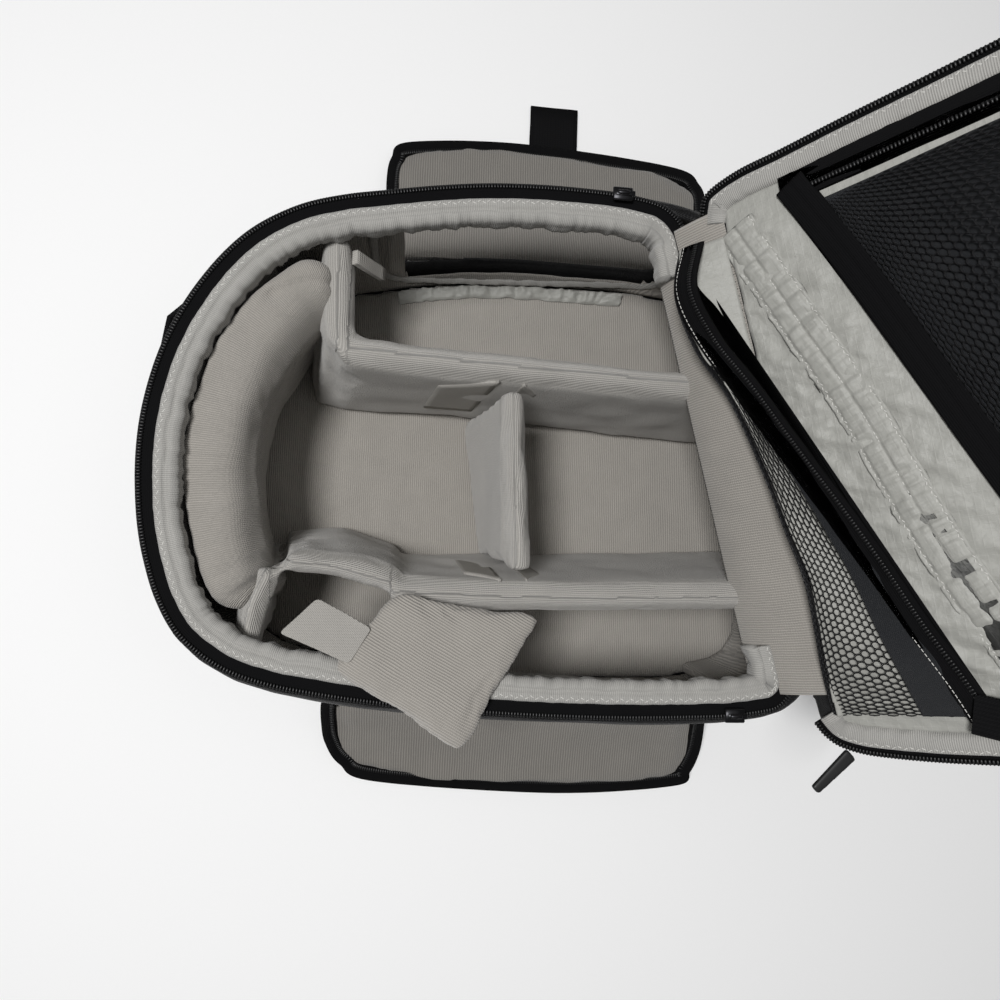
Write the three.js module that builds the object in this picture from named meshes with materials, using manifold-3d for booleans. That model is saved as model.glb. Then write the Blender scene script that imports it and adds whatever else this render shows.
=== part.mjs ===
// A camera backpack lying open on its harness, lid up, side doors folded out.
// Millimetres, +Z up. X runs from the pack's top end to its hinged bottom end.
import * as THREE from "three";
import { mergeVertices } from "three/addons/utils/BufferGeometryUtils.js";
import Module from "manifold-3d";

// Driving dimensions: mouth, height and the hinged end.
const RIM_LENGTH = 386;
const RIM_WIDTH = 320;
const RIM_HEIGHT = 175;
const BASE_REACH = 240;
const BASE_WIDTH = 304;
const BASE_CORNER = 62;
const MOUTH_CORNER = 26;
const BULGE = 8;
const NEAR_SPLAY = 14;
const CLEAR = 0.3;

// Thicknesses of the stack, from the ground up.
const STRAP_THICKNESS = 10;
const BACK_PAD_THICKNESS = 13.7;
const BACK_PAD_INSET = 16;
const WEB_INSET = 30;
const SHELL_FLOOR = 3;
const FLOOR_PAD = 6.4;
const WALL = 9;
const LINING = 3;
const TAPE = 2.5;
const COIL = 3.2;
const TAPE_WIDTH = 10;
const BINDING_WIDTH = 10;
const BINDING_DROP = 15;

// The lid and its hinge line.
const HINGE_LENGTH = 317;
const HINGE_SKEW = 14.6;
const HINGE_REACH = 159;
const HINGE_RISE = 8.7;
const HINGE_SEAT = 5;
const LID_ANGLE = 49.4;
const LID_WIDTH = 343;
const LID_LENGTH = 378;
const LID_OVERHANG = 23.5;
const LID_THICKNESS = 20;
const LID_CROWN = 48;
const LID_LINING = 2.2;
const LID_ZIP_WIDTH = 5;
const LID_BINDING_WIDTH = 12;
const LID_BINDING_HEIGHT = 7;
const POCKET_DEPTH = 28;
const NET = 1.2;
const POCKET_BAND = 14;
const POCKET_BAND_HIGH = 12;
const GATHERED_STRIP = 24;
const HIGH_NET_SWELL = 14;
const GARAGE_WIDTH = 22;
const BAND_THICKNESS = 2.4;

// Dividers, pads and doors.
const DIVIDER_HEIGHT = 126;
const DIVIDER = 16;
const LOWER_DIVIDER = 15;
const THIN_DIVIDER = 11;
const CROSS_DIVIDER = 13;
const TAB = 1.6;
const PILLOW_TOP = 163;
const PILLOW_DEPTH = 54;
const PILLOW_ROUND = 14;
const POCKET_PANEL = 2.6;
const SLOT_BOTTOM = 60;
const END_PAD = 10;
const END_PAD_TOP = 128;
const CORNER_PAD_TOP = 96;
const LOOSE_PAD = 9;
const DOOR_SILL = 48;
const DOOR_HEAD = 141;
const DOOR_RADIUS = 26;
const DOOR_BINDING = 3;
const DOOR_BINDING_WIDTH = 7;
const FLAP_THICKNESS = 11;
const FLAP_EDGE = 6;
const FAR_FLAP_LENGTH = 104;
const NEAR_FLAP_LENGTH = 75;
const WEBBING = 2.4;
const SIDE_STRAP_WIDTH = 40;
const SIDE_STRAP_REACH = 310;
const LOOP_WIDTH = 25;
const LOOP_LEVEL = 48;
const LOOP_REACH = 35;
const SHOULDER_PAD_WIDTH = 62;
const SHOULDER_WEB_WIDTH = 25;

const HALF_LENGTH = RIM_LENGTH / 2;
const HALF_WIDTH = RIM_WIDTH / 2;
const PAD_BOTTOM = STRAP_THICKNESS + CLEAR;
const SHELL_BOTTOM = PAD_BOTTOM + BACK_PAD_THICKNESS + CLEAR;
const SHELL_FLOOR_TOP = SHELL_BOTTOM + SHELL_FLOOR;
const FLOOR_BOTTOM = SHELL_FLOOR_TOP + CLEAR;
const FLOOR_TOP = FLOOR_BOTTOM + FLOOR_PAD;
const TAPE_BOTTOM = RIM_HEIGHT - COIL - TAPE;
const SHELL_TOP = TAPE_BOTTOM - CLEAR;
const LINING_FACE = WALL + CLEAR + LINING;
const INSIDE = LINING_FACE + CLEAR;
const LINING_TOP = SHELL_TOP - CLEAR - LINING;
const BINDING_FACE = TAPE_WIDTH + CLEAR + BINDING_WIDTH;
const STAND = FLOOR_TOP + CLEAR;
const DIVIDER_TOP = FLOOR_TOP + DIVIDER_HEIGHT;
const radians = THREE.MathUtils.degToRad;
const lerp = THREE.MathUtils.lerp;

// Mouth of the tub, far side round the arched top end to the near side, as
// shares of half the rim's length and width.
const MOUTH = [
  { along: 0.31, across: 1.0 },
  { along: 0.0, across: 0.987 },
  { along: -0.31, across: 0.928 },
  { along: -0.544, across: 0.859 },
  { along: -0.715, across: 0.737 },
  { along: -0.845, across: 0.55 },
  { along: -0.943, across: 0.312 },
  { along: -0.992, across: 0.05 },
  { along: -0.995, across: -0.2 },
  { along: -0.958, across: -0.462 },
  { along: -0.865, across: -0.706 },
  { along: -0.7, across: -0.85 },
  { along: -0.466, across: -0.919 },
  { along: -0.155, across: -0.962 },
  { along: 0.26, across: -0.99 },
  { along: 0.674, across: -0.99 },
];

// How the walls swell and how far the hinged end has leaned in, up the tub.
// Rise is a share of the tub's height, swell of BULGE, lean of the way to the hinge.
const LEVELS = [
  { rise: 0.0, swell: -1.0, lean: 0.0 },
  { rise: 0.05, swell: -0.2, lean: 0.0 },
  { rise: 0.13, swell: 0.3, lean: 0.0 },
  { rise: 0.35, swell: 0.9, lean: 0.02 },
  { rise: 0.6, swell: 1.0, lean: 0.1 },
  { rise: 0.8, swell: 0.7, lean: 0.38 },
  { rise: 0.92, swell: 0.3, lean: 0.72 },
  { rise: 1.0, swell: 0.0, lean: 1.0 },
];
const RING_STEPS = 2;
const RIM_START = 0;
const RIM_END = (MOUTH.length + 1) * RING_STEPS;
const END_NEAR = RIM_END + 2 * RING_STEPS;
const END_FAR = RIM_END + 4 * RING_STEPS;

const hingeDirection = new THREE.Vector3(
  -Math.sin(radians(HINGE_SKEW)),
  Math.cos(radians(HINGE_SKEW)),
  0,
);
const hingeOutward = new THREE.Vector3(hingeDirection.y, -hingeDirection.x, 0);
const hingeMiddle = new THREE.Vector3(HINGE_REACH, 0, RIM_HEIGHT + HINGE_RISE);
const hingeNear = hingeMiddle.clone().addScaledVector(hingeDirection, -HINGE_LENGTH / 2);
const hingeFar = hingeMiddle.clone().addScaledVector(hingeDirection, HINGE_LENGTH / 2);
const lidOutward = hingeOutward
  .clone()
  .multiplyScalar(Math.cos(radians(LID_ANGLE)))
  .add(new THREE.Vector3(0, 0, Math.sin(radians(LID_ANGLE))));
const lidInward = new THREE.Vector3().crossVectors(hingeDirection, lidOutward).negate();

// A closed solid through rings of equal count, capped at both ends unless it
// closes on itself, with its faces turned outward.
function loft(rings, closed = false, cap = capRing) {
  const count = rings[0].length;
  const positions = rings.flat().flatMap((p) => [p.x, p.y, p.z]);
  const faces = [];
  const spans = closed ? rings.length : rings.length - 1;
  for (let i = 0; i < spans; i++) {
    for (let j = 0; j < count; j++) {
      const a = i * count + j;
      const b = i * count + ((j + 1) % count);
      const c = ((i + 1) % rings.length) * count + j;
      const d = ((i + 1) % rings.length) * count + ((j + 1) % count);
      // A thin sheet's two faces are cut along the same diagonals.
      const behind = cap === capStrip && j >= count / 2;
      faces.push(...(behind ? [a, b, c, b, d, c] : [a, b, d, a, d, c]));
    }
  }
  if (!closed) {
    cap(rings[0], 0, positions, faces, true);
    cap(rings.at(-1), (rings.length - 1) * count, positions, faces, false);
  }
  const geometry = new THREE.BufferGeometry();
  geometry.setAttribute("position", new THREE.Float32BufferAttribute(positions, 3));
  geometry.setIndex(faces);
  return facingOut(geometry);
}

function capRing(ring, start, positions, faces, first) {
  const middle = new THREE.Vector3();
  ring.forEach((p) => middle.addScaledVector(p, 1 / ring.length));
  const hub = positions.length / 3;
  positions.push(middle.x, middle.y, middle.z);
  for (let j = 0; j < ring.length; j++) {
    const a = start + j;
    const b = start + ((j + 1) % ring.length);
    faces.push(...(first ? [hub, b, a] : [hub, a, b]));
  }
}

// Caps a thin sheet's ring, whose second half runs back behind its first.
function capStrip(ring, start, positions, faces, first) {
  for (let j = 0; j < ring.length / 2 - 1; j++) {
    const a = start + j;
    const b = a + 1;
    const d = start + ring.length - 1 - j;
    const c = d - 1;
    faces.push(...(first ? [a, c, b, a, d, c] : [a, b, c, a, c, d]));
  }
}

function facingOut(geometry) {
  const p = geometry.getAttribute("position");
  const index = geometry.getIndex();
  const [a, b, c] = [new THREE.Vector3(), new THREE.Vector3(), new THREE.Vector3()];
  let volume = 0;
  for (let i = 0; i < index.count; i += 3) {
    a.fromBufferAttribute(p, index.getX(i));
    b.fromBufferAttribute(p, index.getX(i + 1));
    c.fromBufferAttribute(p, index.getX(i + 2));
    volume += a.dot(b.cross(c));
  }
  if (volume < 0) {
    for (let i = 0; i < index.count; i += 3) {
      const second = index.getX(i + 1);
      index.setX(i + 1, index.getX(i + 2));
      index.setX(i + 2, second);
    }
  }
  return geometry;
}

// Boolean cuts.
const wasm = await Module();
wasm.setup();
const toSolid = (geometry) => {
  const plain = geometry.clone();
  plain.deleteAttribute("normal");
  plain.deleteAttribute("uv");
  const merged = mergeVertices(plain, 1e-3);
  return new wasm.Manifold(
    new wasm.Mesh({
      numProp: 3,
      vertProperties: new Float32Array(merged.getAttribute("position").array),
      triVerts: new Uint32Array(merged.getIndex().array),
    }),
  );
};
const toGeometry = (solid) => {
  const mesh = solid.getMesh();
  const geometry = new THREE.BufferGeometry();
  geometry.setAttribute("position", new THREE.Float32BufferAttribute(mesh.vertProperties, 3));
  geometry.setIndex(new THREE.BufferAttribute(mesh.triVerts, 1));
  return geometry;
};
const cut = (geometry, tools) =>
  toGeometry(tools.reduce((solid, tool) => solid.subtract(toSolid(tool)), toSolid(geometry)));

// The pack and its finishes.
const backpack = new THREE.Group();
const finish = (color, roughness, metalness = 0) =>
  new THREE.MeshStandardMaterial({ color, roughness, metalness });
const blackNylon = finish(0x151517, 0.75);
const blackWebbing = finish(0x101012, 0.8);
const greyKnit = finish(0x9c9790, 0.95);
const greyLoop = finish(0xa3a19c, 0.95);
const greyBinding = finish(0xb0afab, 0.85);
const greyNylon = finish(0xa5a5a3, 0.6);
const blackNet = finish(0x1b1b1d, 0.7);
const darkMetal = finish(0x26262a, 0.35, 0.9);
const rubber = finish(0x18181a, 0.6);

function piece(name, geometry, material) {
  const mesh = new THREE.Mesh(geometry, material);
  mesh.name = name;
  backpack.add(mesh);
}

// One level of the tub's outer face, as points in plan.
function levelControls(level) {
  const towards = (from, to, distance) =>
    from.clone().addScaledVector(to.clone().sub(from).normalize(), distance);
  const corner = (side, hinge) =>
    new THREE.Vector3(BASE_REACH, (side * BASE_WIDTH) / 2, 0).lerp(
      hinge.clone().addScaledVector(hingeOutward, HINGE_SEAT).setZ(0),
      level.lean,
    );
  const radius = lerp(BASE_CORNER, MOUTH_CORNER, level.lean);
  const sides = MOUTH.map(
    ({ along, across }) => new THREE.Vector3(along * HALF_LENGTH, across * HALF_WIDTH, 0),
  );
  const far = corner(1, hingeFar);
  const near = corner(-1, hingeNear);
  const farSide = towards(far, sides[0], radius);
  const farEnd = towards(far, near, radius);
  const nearSide = towards(near, sides.at(-1), radius);
  const nearEnd = towards(near, far, radius);
  const rounded = (a, b, c) =>
    a.clone().multiplyScalar(0.27).addScaledVector(b, 0.46).addScaledVector(c, 0.27);
  const controls = [
    farSide,
    ...sides,
    nearSide,
    rounded(nearSide, near, nearEnd),
    nearEnd,
    nearEnd.clone().lerp(farEnd, 0.5),
    farEnd,
    rounded(farEnd, far, farSide),
  ];
  const splay = (NEAR_SPLAY * (1 - level.rise)) / HALF_WIDTH;
  return controls.map((p) => p.setY(p.y < 0 ? p.y * (1 + splay) : p.y));
}

function offsetRing(points, inset) {
  return points.map((p, i) => {
    const before = points.at(i - 1);
    const after = points[(i + 1) % points.length];
    const along = after.clone().sub(before).normalize();
    return new THREE.Vector3(p.x - along.y * inset, p.y + along.x * inset, 0);
  });
}

const levelRings = LEVELS.map((level) => {
  const controls = levelControls(level);
  const curve = new THREE.CatmullRomCurve3(controls, true, "centripetal");
  const points = curve.getPoints(controls.length * RING_STEPS).slice(0, -1);
  return offsetRing(points, -BULGE * level.swell);
});
const levelHeights = LEVELS.map(({ rise }) => lerp(SHELL_BOTTOM, RIM_HEIGHT, rise));
const RING_COUNT = levelRings[0].length;

// Point i of the tub's wall at a height, inset from the outer face.
const insetRings = new Map();
function tubRing(z, inset) {
  const key = inset.toFixed(4);
  if (!insetRings.has(key)) {
    insetRings.set(
      key,
      levelRings.map((ring) => offsetRing(ring, inset)),
    );
  }
  const rings = insetRings.get(key);
  const above = levelHeights.findIndex((height) => height >= z);
  const k = above < 0 ? LEVELS.length - 1 : Math.max(above, 1);
  const share = (z - levelHeights[k - 1]) / (levelHeights[k] - levelHeights[k - 1]);
  return rings[k].map((p, i) => rings[k - 1][i].clone().lerp(p, share).setZ(z));
}

// Heights at which a wall between two heights needs a ring.
function heightsBetween(low, high) {
  return [low, ...levelHeights.filter((z) => z > low + 1 && z < high - 1), high];
}

// A strip that follows the wall: a section of (inset, height) pairs, which may
// change along the wall, swept from one ring index to another.
function wallPoint(index, inset, z) {
  const ring = tubRing(z, inset);
  const low = Math.floor(index);
  const a = ring[low % RING_COUNT];
  const b = ring[(low + 1) % RING_COUNT];
  return a.clone().lerp(b, index - low);
}
function alongWall(section, from, to, closed = false) {
  const stations = [];
  const end = closed ? to - 1 : to;
  for (let i = from; i <= end; i++) {
    const profile = typeof section === "function" ? section((i - from) / (to - from)) : section;
    stations.push(profile.map(([inset, z]) => wallPoint(i, inset, z)));
  }
  return loft(stations, closed);
}

// A value read from a table at a share between its rows.
function tableValue(table, share, column, key = "share") {
  let k = table.findIndex((row) => row[key] >= share);
  k = THREE.MathUtils.clamp(k < 0 ? table.length - 1 : k, 1, table.length - 1);
  const [a, b] = [table[k - 1], table[k]];
  const t = THREE.MathUtils.clamp((share - a[key]) / (b[key] - a[key]), 0, 1);
  return lerp(a[column], b[column], t);
}

// Where a ray in plan meets the wall at a height and inset.
function reach(x, y, dx, dy, z, inset) {
  const ring = tubRing(z, inset);
  let best = Infinity;
  ring.forEach((a, i) => {
    const b = ring[(i + 1) % ring.length];
    const [ex, ey] = [b.x - a.x, b.y - a.y];
    const det = dx * ey - dy * ex;
    const t = ((a.x - x) * ey - (a.y - y) * ex) / det;
    const s = ((a.x - x) * dy - (a.y - y) * dx) / det;
    if (t > 0 && s >= 0 && s <= 1 && t < best) best = t;
  });
  return new THREE.Vector3(x + dx * best, y + dy * best, z);
}

// Doors: openings cut through both long walls.
const DOORS = {
  far: { side: 1, left: -0.35, right: 0.78 },
  near: { side: -1, left: -0.5, right: 0.8 },
};
function doorShape(door, grow) {
  const left = door.left * HALF_LENGTH - grow;
  const right = door.right * HALF_LENGTH + grow;
  const [low, high] = [DOOR_SILL - grow, DOOR_HEAD + grow];
  const r = DOOR_RADIUS + grow;
  const shape = new THREE.Shape();
  shape.absarc(right - r, low + r, r, -Math.PI / 2, 0, false);
  shape.absarc(right - r, high - r, r, 0, Math.PI / 2, false);
  shape.absarc(left + r, high - r, r, Math.PI / 2, Math.PI, false);
  shape.absarc(left + r, low + r, r, Math.PI, 1.5 * Math.PI, false);
  return shape;
}
function doorCutter(door) {
  const geometry = new THREE.ExtrudeGeometry(doorShape(door, 0), {
    depth: HALF_WIDTH,
    bevelEnabled: false,
    curveSegments: 5,
  });
  geometry.rotateX(Math.PI / 2);
  geometry.translate(0, door.side > 0 ? 1.6 * HALF_WIDTH : -0.6 * HALF_WIDTH, 0);
  return geometry;
}
const doorCutters = Object.values(DOORS).map(doorCutter);

// Shell: padded black walls and floor, with both door openings.
function shell() {
  const outer = heightsBetween(SHELL_BOTTOM, SHELL_TOP).map((z) => tubRing(z, 0));
  const inner = heightsBetween(SHELL_FLOOR_TOP, SHELL_TOP).map((z) => tubRing(z, WALL));
  return cut(loft([...outer, ...inner.reverse()]), doorCutters);
}
piece("shell", shell(), blackNylon);

function lining() {
  const heights = heightsBetween(STAND, LINING_TOP);
  const section = [
    ...heights.map((z) => [WALL + CLEAR, z]),
    ...heights.toReversed().map((z) => [LINING_FACE, z]),
  ];
  return cut(alongWall(section, 0, RING_COUNT, true), doorCutters);
}
piece("lining", lining(), greyKnit);

const floorRings = [
  [FLOOR_BOTTOM, WALL + 2 * CLEAR],
  [FLOOR_TOP, WALL + 2 * CLEAR],
].map(([z, inset]) => tubRing(z, inset));
piece("floor_pad", loft(floorRings), greyKnit);

// Zip tape with its coil, and the grey gathered binding, round the mouth.
const rimZipSection = [
  [0, TAPE_BOTTOM],
  [TAPE_WIDTH, TAPE_BOTTOM],
  [TAPE_WIDTH, TAPE_BOTTOM + TAPE],
  [COIL * 1.7, TAPE_BOTTOM + TAPE],
  [COIL * 1.4, RIM_HEIGHT],
  [COIL * 0.3, RIM_HEIGHT],
  [0, TAPE_BOTTOM + TAPE],
];
piece("rim_zip", alongWall(rimZipSection, RIM_START, RIM_END), blackWebbing);

const bindingTop = TAPE_BOTTOM + TAPE + CLEAR;
const bindingLow = LINING_TOP - BINDING_DROP;
const rimBindingSection = [
  [WALL + 2 * CLEAR, LINING_TOP + CLEAR],
  [WALL + 2 * CLEAR, SHELL_TOP],
  [TAPE_WIDTH + CLEAR, TAPE_BOTTOM],
  [TAPE_WIDTH + CLEAR, bindingTop],
  [TAPE_WIDTH + 0.3 * BINDING_WIDTH, bindingTop + 1.2],
  [TAPE_WIDTH + 0.8 * BINDING_WIDTH, bindingTop],
  [BINDING_FACE, bindingTop - 0.35 * BINDING_DROP],
  [BINDING_FACE - 1, bindingLow + 3],
  [BINDING_FACE - 3, bindingLow],
  [INSIDE, bindingLow],
  [INSIDE, LINING_TOP + CLEAR],
];
piece("rim_binding", alongWall(rimBindingSection, RIM_START, RIM_END), greyBinding);

// Slot pocket and the crescent pillow across the arched top end.
const slotPocketSection = (share) => {
  const open = Math.sin(Math.PI * share) ** 0.5;
  const inset = lerp(INSIDE + 5, BINDING_FACE + 2, Math.min(1, 3 * open));
  const top = lerp(LINING_TOP - BINDING_DROP - 2, LINING_TOP - 5, open);
  return [
    [INSIDE, SLOT_BOTTOM],
    [INSIDE + POCKET_PANEL, SLOT_BOTTOM],
    [inset + POCKET_PANEL, top],
    [inset, top],
  ];
};
const SLOT_FROM = 10;
const SLOT_TO = 21;
const PILLOW_FROM = 9.5;
piece("slot_pocket", alongWall(slotPocketSection, SLOT_FROM, SLOT_TO), greyKnit);

// Pillow: insets as shares of PILLOW_DEPTH and crown of PILLOW_TOP, along the arch.
const PILLOW = [
  { share: 0.0, back: 0.41, face: 0.54, foot: 0.35, crown: 0.9 },
  { share: 0.12, back: 0.5, face: 0.78, foot: 0.48, crown: 0.98 },
  { share: 0.3, back: 0.52, face: 0.93, foot: 0.58, crown: 1.0 },
  { share: 0.5, back: 0.52, face: 1.0, foot: 0.62, crown: 1.0 },
  { share: 0.7, back: 0.52, face: 1.0, foot: 0.62, crown: 1.0 },
  { share: 0.88, back: 0.52, face: 0.87, foot: 0.58, crown: 0.98 },
  { share: 1.0, back: 0.48, face: 0.63, foot: 0.46, crown: 0.9 },
];
const pillowSection = (share) => {
  const at = (column) => tableValue(PILLOW, share, column) * PILLOW_DEPTH;
  const top = PILLOW_TOP * tableValue(PILLOW, share, "crown");
  const foot = INSIDE + POCKET_PANEL + CLEAR;
  const round = PILLOW_ROUND;
  return [
    [foot, STAND],
    [foot + 1, SLOT_BOTTOM - 2],
    [at("back"), top - round],
    [at("back") + 0.15 * round, top - 0.3 * round],
    [lerp(at("back"), at("face"), 0.45), top],
    [at("face") - 0.3 * round, top - 0.3 * round],
    [at("face"), top - round],
    [lerp(at("foot"), at("face"), 0.8), 0.6 * PILLOW_TOP],
    [at("foot"), STAND],
  ];
};
piece("top_pillow", alongWall(pillowSection, PILLOW_FROM, SLOT_TO + 0.5), greyKnit);

// Pads against the hinged end: one between the long dividers, one in the near corner.
const endPadSection = (low, high) => [
  [INSIDE, low],
  [INSIDE, high],
  [INSIDE + END_PAD * 0.5, high],
  [INSIDE + END_PAD, high - END_PAD * 0.6],
  [INSIDE + END_PAD, low],
];

// Dividers: padded walls that stand on the floor. A row gives the middle of the
// foot and of the top edge, as shares of half the rim's length and width.
function dividerRings(rows, thickness) {
  return rows.map((row, i) => {
    const before = rows[Math.max(i - 1, 0)];
    const after = rows[Math.min(i + 1, rows.length - 1)];
    const along = after.foot.clone().add(after.top).sub(before.foot).sub(before.top);
    const side = new THREE.Vector3(-along.y, along.x, 0).normalize().multiplyScalar(thickness / 2);
    const at = (share, sideways) =>
      row.foot.clone().lerp(row.top, share).addScaledVector(side, sideways);
    const shoulder = 1 - (0.4 * thickness) / DIVIDER_HEIGHT;
    return [
      at(0, -1),
      at(0, 1),
      at(shoulder, 1),
      at(1, 0.5),
      at(1, -0.5),
      at(shoulder, -1),
    ];
  });
}
const inPlan = (along, across, z) =>
  new THREE.Vector3(along * HALF_LENGTH, across * HALF_WIDTH, z);
const dividerRow = (foot, top) => ({
  foot: inPlan(...foot, STAND),
  top: inPlan(...top, DIVIDER_TOP),
});
// A divider's last row, moved to where its run meets the wall.
function toWall(rows, topInset) {
  const last = rows.at(-1);
  const previous = rows.at(-2);
  const meet = (point, from, z, inset) => {
    const d = point.clone().sub(from).setZ(0).normalize();
    return reach(from.x, from.y, d.x, d.y, z, inset);
  };
  const half = DIVIDER / 2;
  const back = (hit, from) => hit.addScaledVector(from.clone().sub(hit).setZ(0).normalize(), CLEAR);
  last.foot = back(meet(last.foot, previous.foot, STAND, INSIDE + half * 0.6), previous.foot);
  last.top = back(meet(last.top, previous.top, DIVIDER_TOP, topInset), previous.top);
  return rows;
}

const upperRows = toWall(
  [
    dividerRow([-0.476, 0.294], [-0.435, 0.356]),
    dividerRow([-0.1, 0.287], [-0.005, 0.329]),
    dividerRow([0.38, 0.256], [0.38, 0.313]),
    dividerRow([0.6, 0.235], [0.6, 0.305]),
    dividerRow([1.2, 0.215], [0.83, 0.3]),
  ],
  INSIDE + 2,
);
piece("divider_upper", loft(dividerRings(upperRows, DIVIDER)), greyLoop);

const stubRows = toWall(
  [
    dividerRow([-0.55, 0.33], [-0.45, 0.425]),
    dividerRow([-0.54, 0.6], [-0.455, 0.62]),
    dividerRow([-0.51, 0.8], [-0.455, 0.8]),
  ],
  BINDING_FACE + 6,
);
piece("divider_stub", loft(dividerRings(stubRows, DIVIDER)), greyLoop);

const lowerRows = toWall(
  [
    dividerRow([-0.25, -0.475], [-0.243, -0.55]),
    dividerRow([0.083, -0.462], [0.083, -0.559]),
    dividerRow([0.4, -0.45], [0.4, -0.554]),
    dividerRow([0.72, -0.432], [0.72, -0.542]),
    dividerRow([1.15, -0.406], [0.95, -0.53]),
  ],
  INSIDE + 2,
);
piece("divider_lower", loft(dividerRings(lowerRows, LOWER_DIVIDER)), greyLoop);

const lowerMiddleRows = [
  dividerRow([-0.7, -0.37], [-0.6, -0.445]),
  dividerRow([-0.513, -0.34], [-0.425, -0.465]),
  dividerRow([-0.3, -0.42], [-0.285, -0.505]),
];
piece("divider_lower_middle", loft(dividerRings(lowerMiddleRows, THIN_DIVIDER)), greyLoop);

const lowerEndRows = [
  dividerRow([-0.725, -0.45], [-0.636, -0.505]),
  dividerRow([-0.728, -0.56], [-0.668, -0.6]),
  dividerRow([-0.715, -0.66], [-0.688, -0.715]),
];
piece("divider_lower_end", loft(dividerRings(lowerEndRows, THIN_DIVIDER)), greyLoop);

// The long dividers' faces, which the cross divider and its tabs meet.
function faceAt(rows, thickness, x, z, side) {
  const share = (z - STAND) / (DIVIDER_TOP - STAND);
  const line = rows.map((row) => row.foot.clone().lerp(row.top, share));
  let k = line.findIndex((p) => p.x >= x);
  k = THREE.MathUtils.clamp(k, 1, line.length - 1);
  const [a, b] = [line[k - 1], line[k]];
  const y = lerp(a.y, b.y, (x - a.x) / (b.x - a.x));
  return new THREE.Vector3(x, y + (side * thickness) / 2, z);
}
const crossEnd = (rows, thickness, x, z, side, gap) =>
  faceAt(rows, thickness, x, z, side).add(new THREE.Vector3(0, side * gap, 0));
const CROSS_FOOT = { far: 0.02, near: 0.1 };
const CROSS_TOP = { far: 0.105, near: 0.13 };
const CROSS_PINCH = 9;
const crossRows = [
  {
    foot: crossEnd(upperRows, DIVIDER, CROSS_FOOT.far * HALF_LENGTH, STAND, -1, 4 * CLEAR),
    top: crossEnd(upperRows, DIVIDER, CROSS_TOP.far * HALF_LENGTH, DIVIDER_TOP, -1, CROSS_PINCH),
  },
  {
    foot: crossEnd(lowerRows, LOWER_DIVIDER, CROSS_FOOT.near * HALF_LENGTH, STAND, 1, 4 * CLEAR),
    top: crossEnd(
      lowerRows,
      LOWER_DIVIDER,
      CROSS_TOP.near * HALF_LENGTH,
      DIVIDER_TOP,
      1,
      CROSS_PINCH,
    ),
  },
];
piece("divider_cross", loft(dividerRings(crossRows, CROSS_DIVIDER)), greyLoop);

// Thin hook tabs of the cross divider, lying on the long dividers' faces. Length
// is a share of TAB_LENGTH, to the left where it is negative.
const TAB_FROM = 70;
const TAB_LENGTH = 34;
const HOOK_TABS = {
  hook_tab_far_left: { far: true, length: -1.0 },
  hook_tab_far_right: { far: true, length: 0.41 },
  hook_tab_near_left: { far: false, length: -0.6 },
  hook_tab_near_right: { far: false, length: 0.35 },
};
function hookTab(rows, thickness, side, from, to, low, high) {
  const middle = (z) => {
    const share = (z - STAND) / (DIVIDER_TOP - STAND);
    const end = side < 0 ? crossRows[0] : crossRows[1];
    return end.foot.clone().lerp(end.top, share).x;
  };
  const corner = (dx, z, depth) => {
    const p = faceAt(rows, thickness, middle(z) + dx, z, side);
    p.y += side * (2 * CLEAR + depth);
    return p;
  };
  const ring = (dx, top) => [
    corner(dx, low, 0),
    corner(dx, low, TAB),
    corner(dx, top, TAB),
    corner(dx, top, 0),
  ];
  return loft([ring(from, high), ring(to, lerp(low, high, 0.75))]);
}
const tabStart = CROSS_DIVIDER / 2 + 4 * CLEAR;
const shoulderZ = DIVIDER_TOP - 0.45 * DIVIDER;
for (const [name, { far, length }] of Object.entries(HOOK_TABS)) {
  const from = Math.sign(length) * tabStart;
  const to = from + length * TAB_LENGTH;
  const tab = far
    ? hookTab(upperRows, DIVIDER, -1, from, to, TAB_FROM, shoulderZ)
    : hookTab(lowerRows, LOWER_DIVIDER, 1, from, to, TAB_FROM, shoulderZ);
  piece(name, tab, greyBinding);
}

// Hook flap bent over from the stub's top, hanging down its right side.
const stubFlapRows = [0.5, 0.95].map((share) => {
  const [a, b] = [stubRows[1], stubRows[2]];
  const middle = a.top.clone().lerp(b.top, share);
  return {
    x: middle.x + DIVIDER / 2 - 2 * CLEAR,
    y: middle.y,
  };
});
const STUB_FLAP_TOP = DIVIDER_TOP - 0.4 * DIVIDER;
const STUB_FLAP_DROP = 28;
const STUB_FLAP_OUT = 15;
piece(
  "stub_flap",
  loft(
    stubFlapRows.map(({ x, y }) => [
      new THREE.Vector3(x, y, STUB_FLAP_TOP - TAB),
      new THREE.Vector3(x + 2 * TAB, y, STUB_FLAP_TOP),
      new THREE.Vector3(x + STUB_FLAP_OUT + 2 * TAB, y, STUB_FLAP_TOP - STUB_FLAP_DROP),
      new THREE.Vector3(x + STUB_FLAP_OUT, y, STUB_FLAP_TOP - STUB_FLAP_DROP - TAB),
    ]),
  ),
  greyBinding,
);

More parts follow.
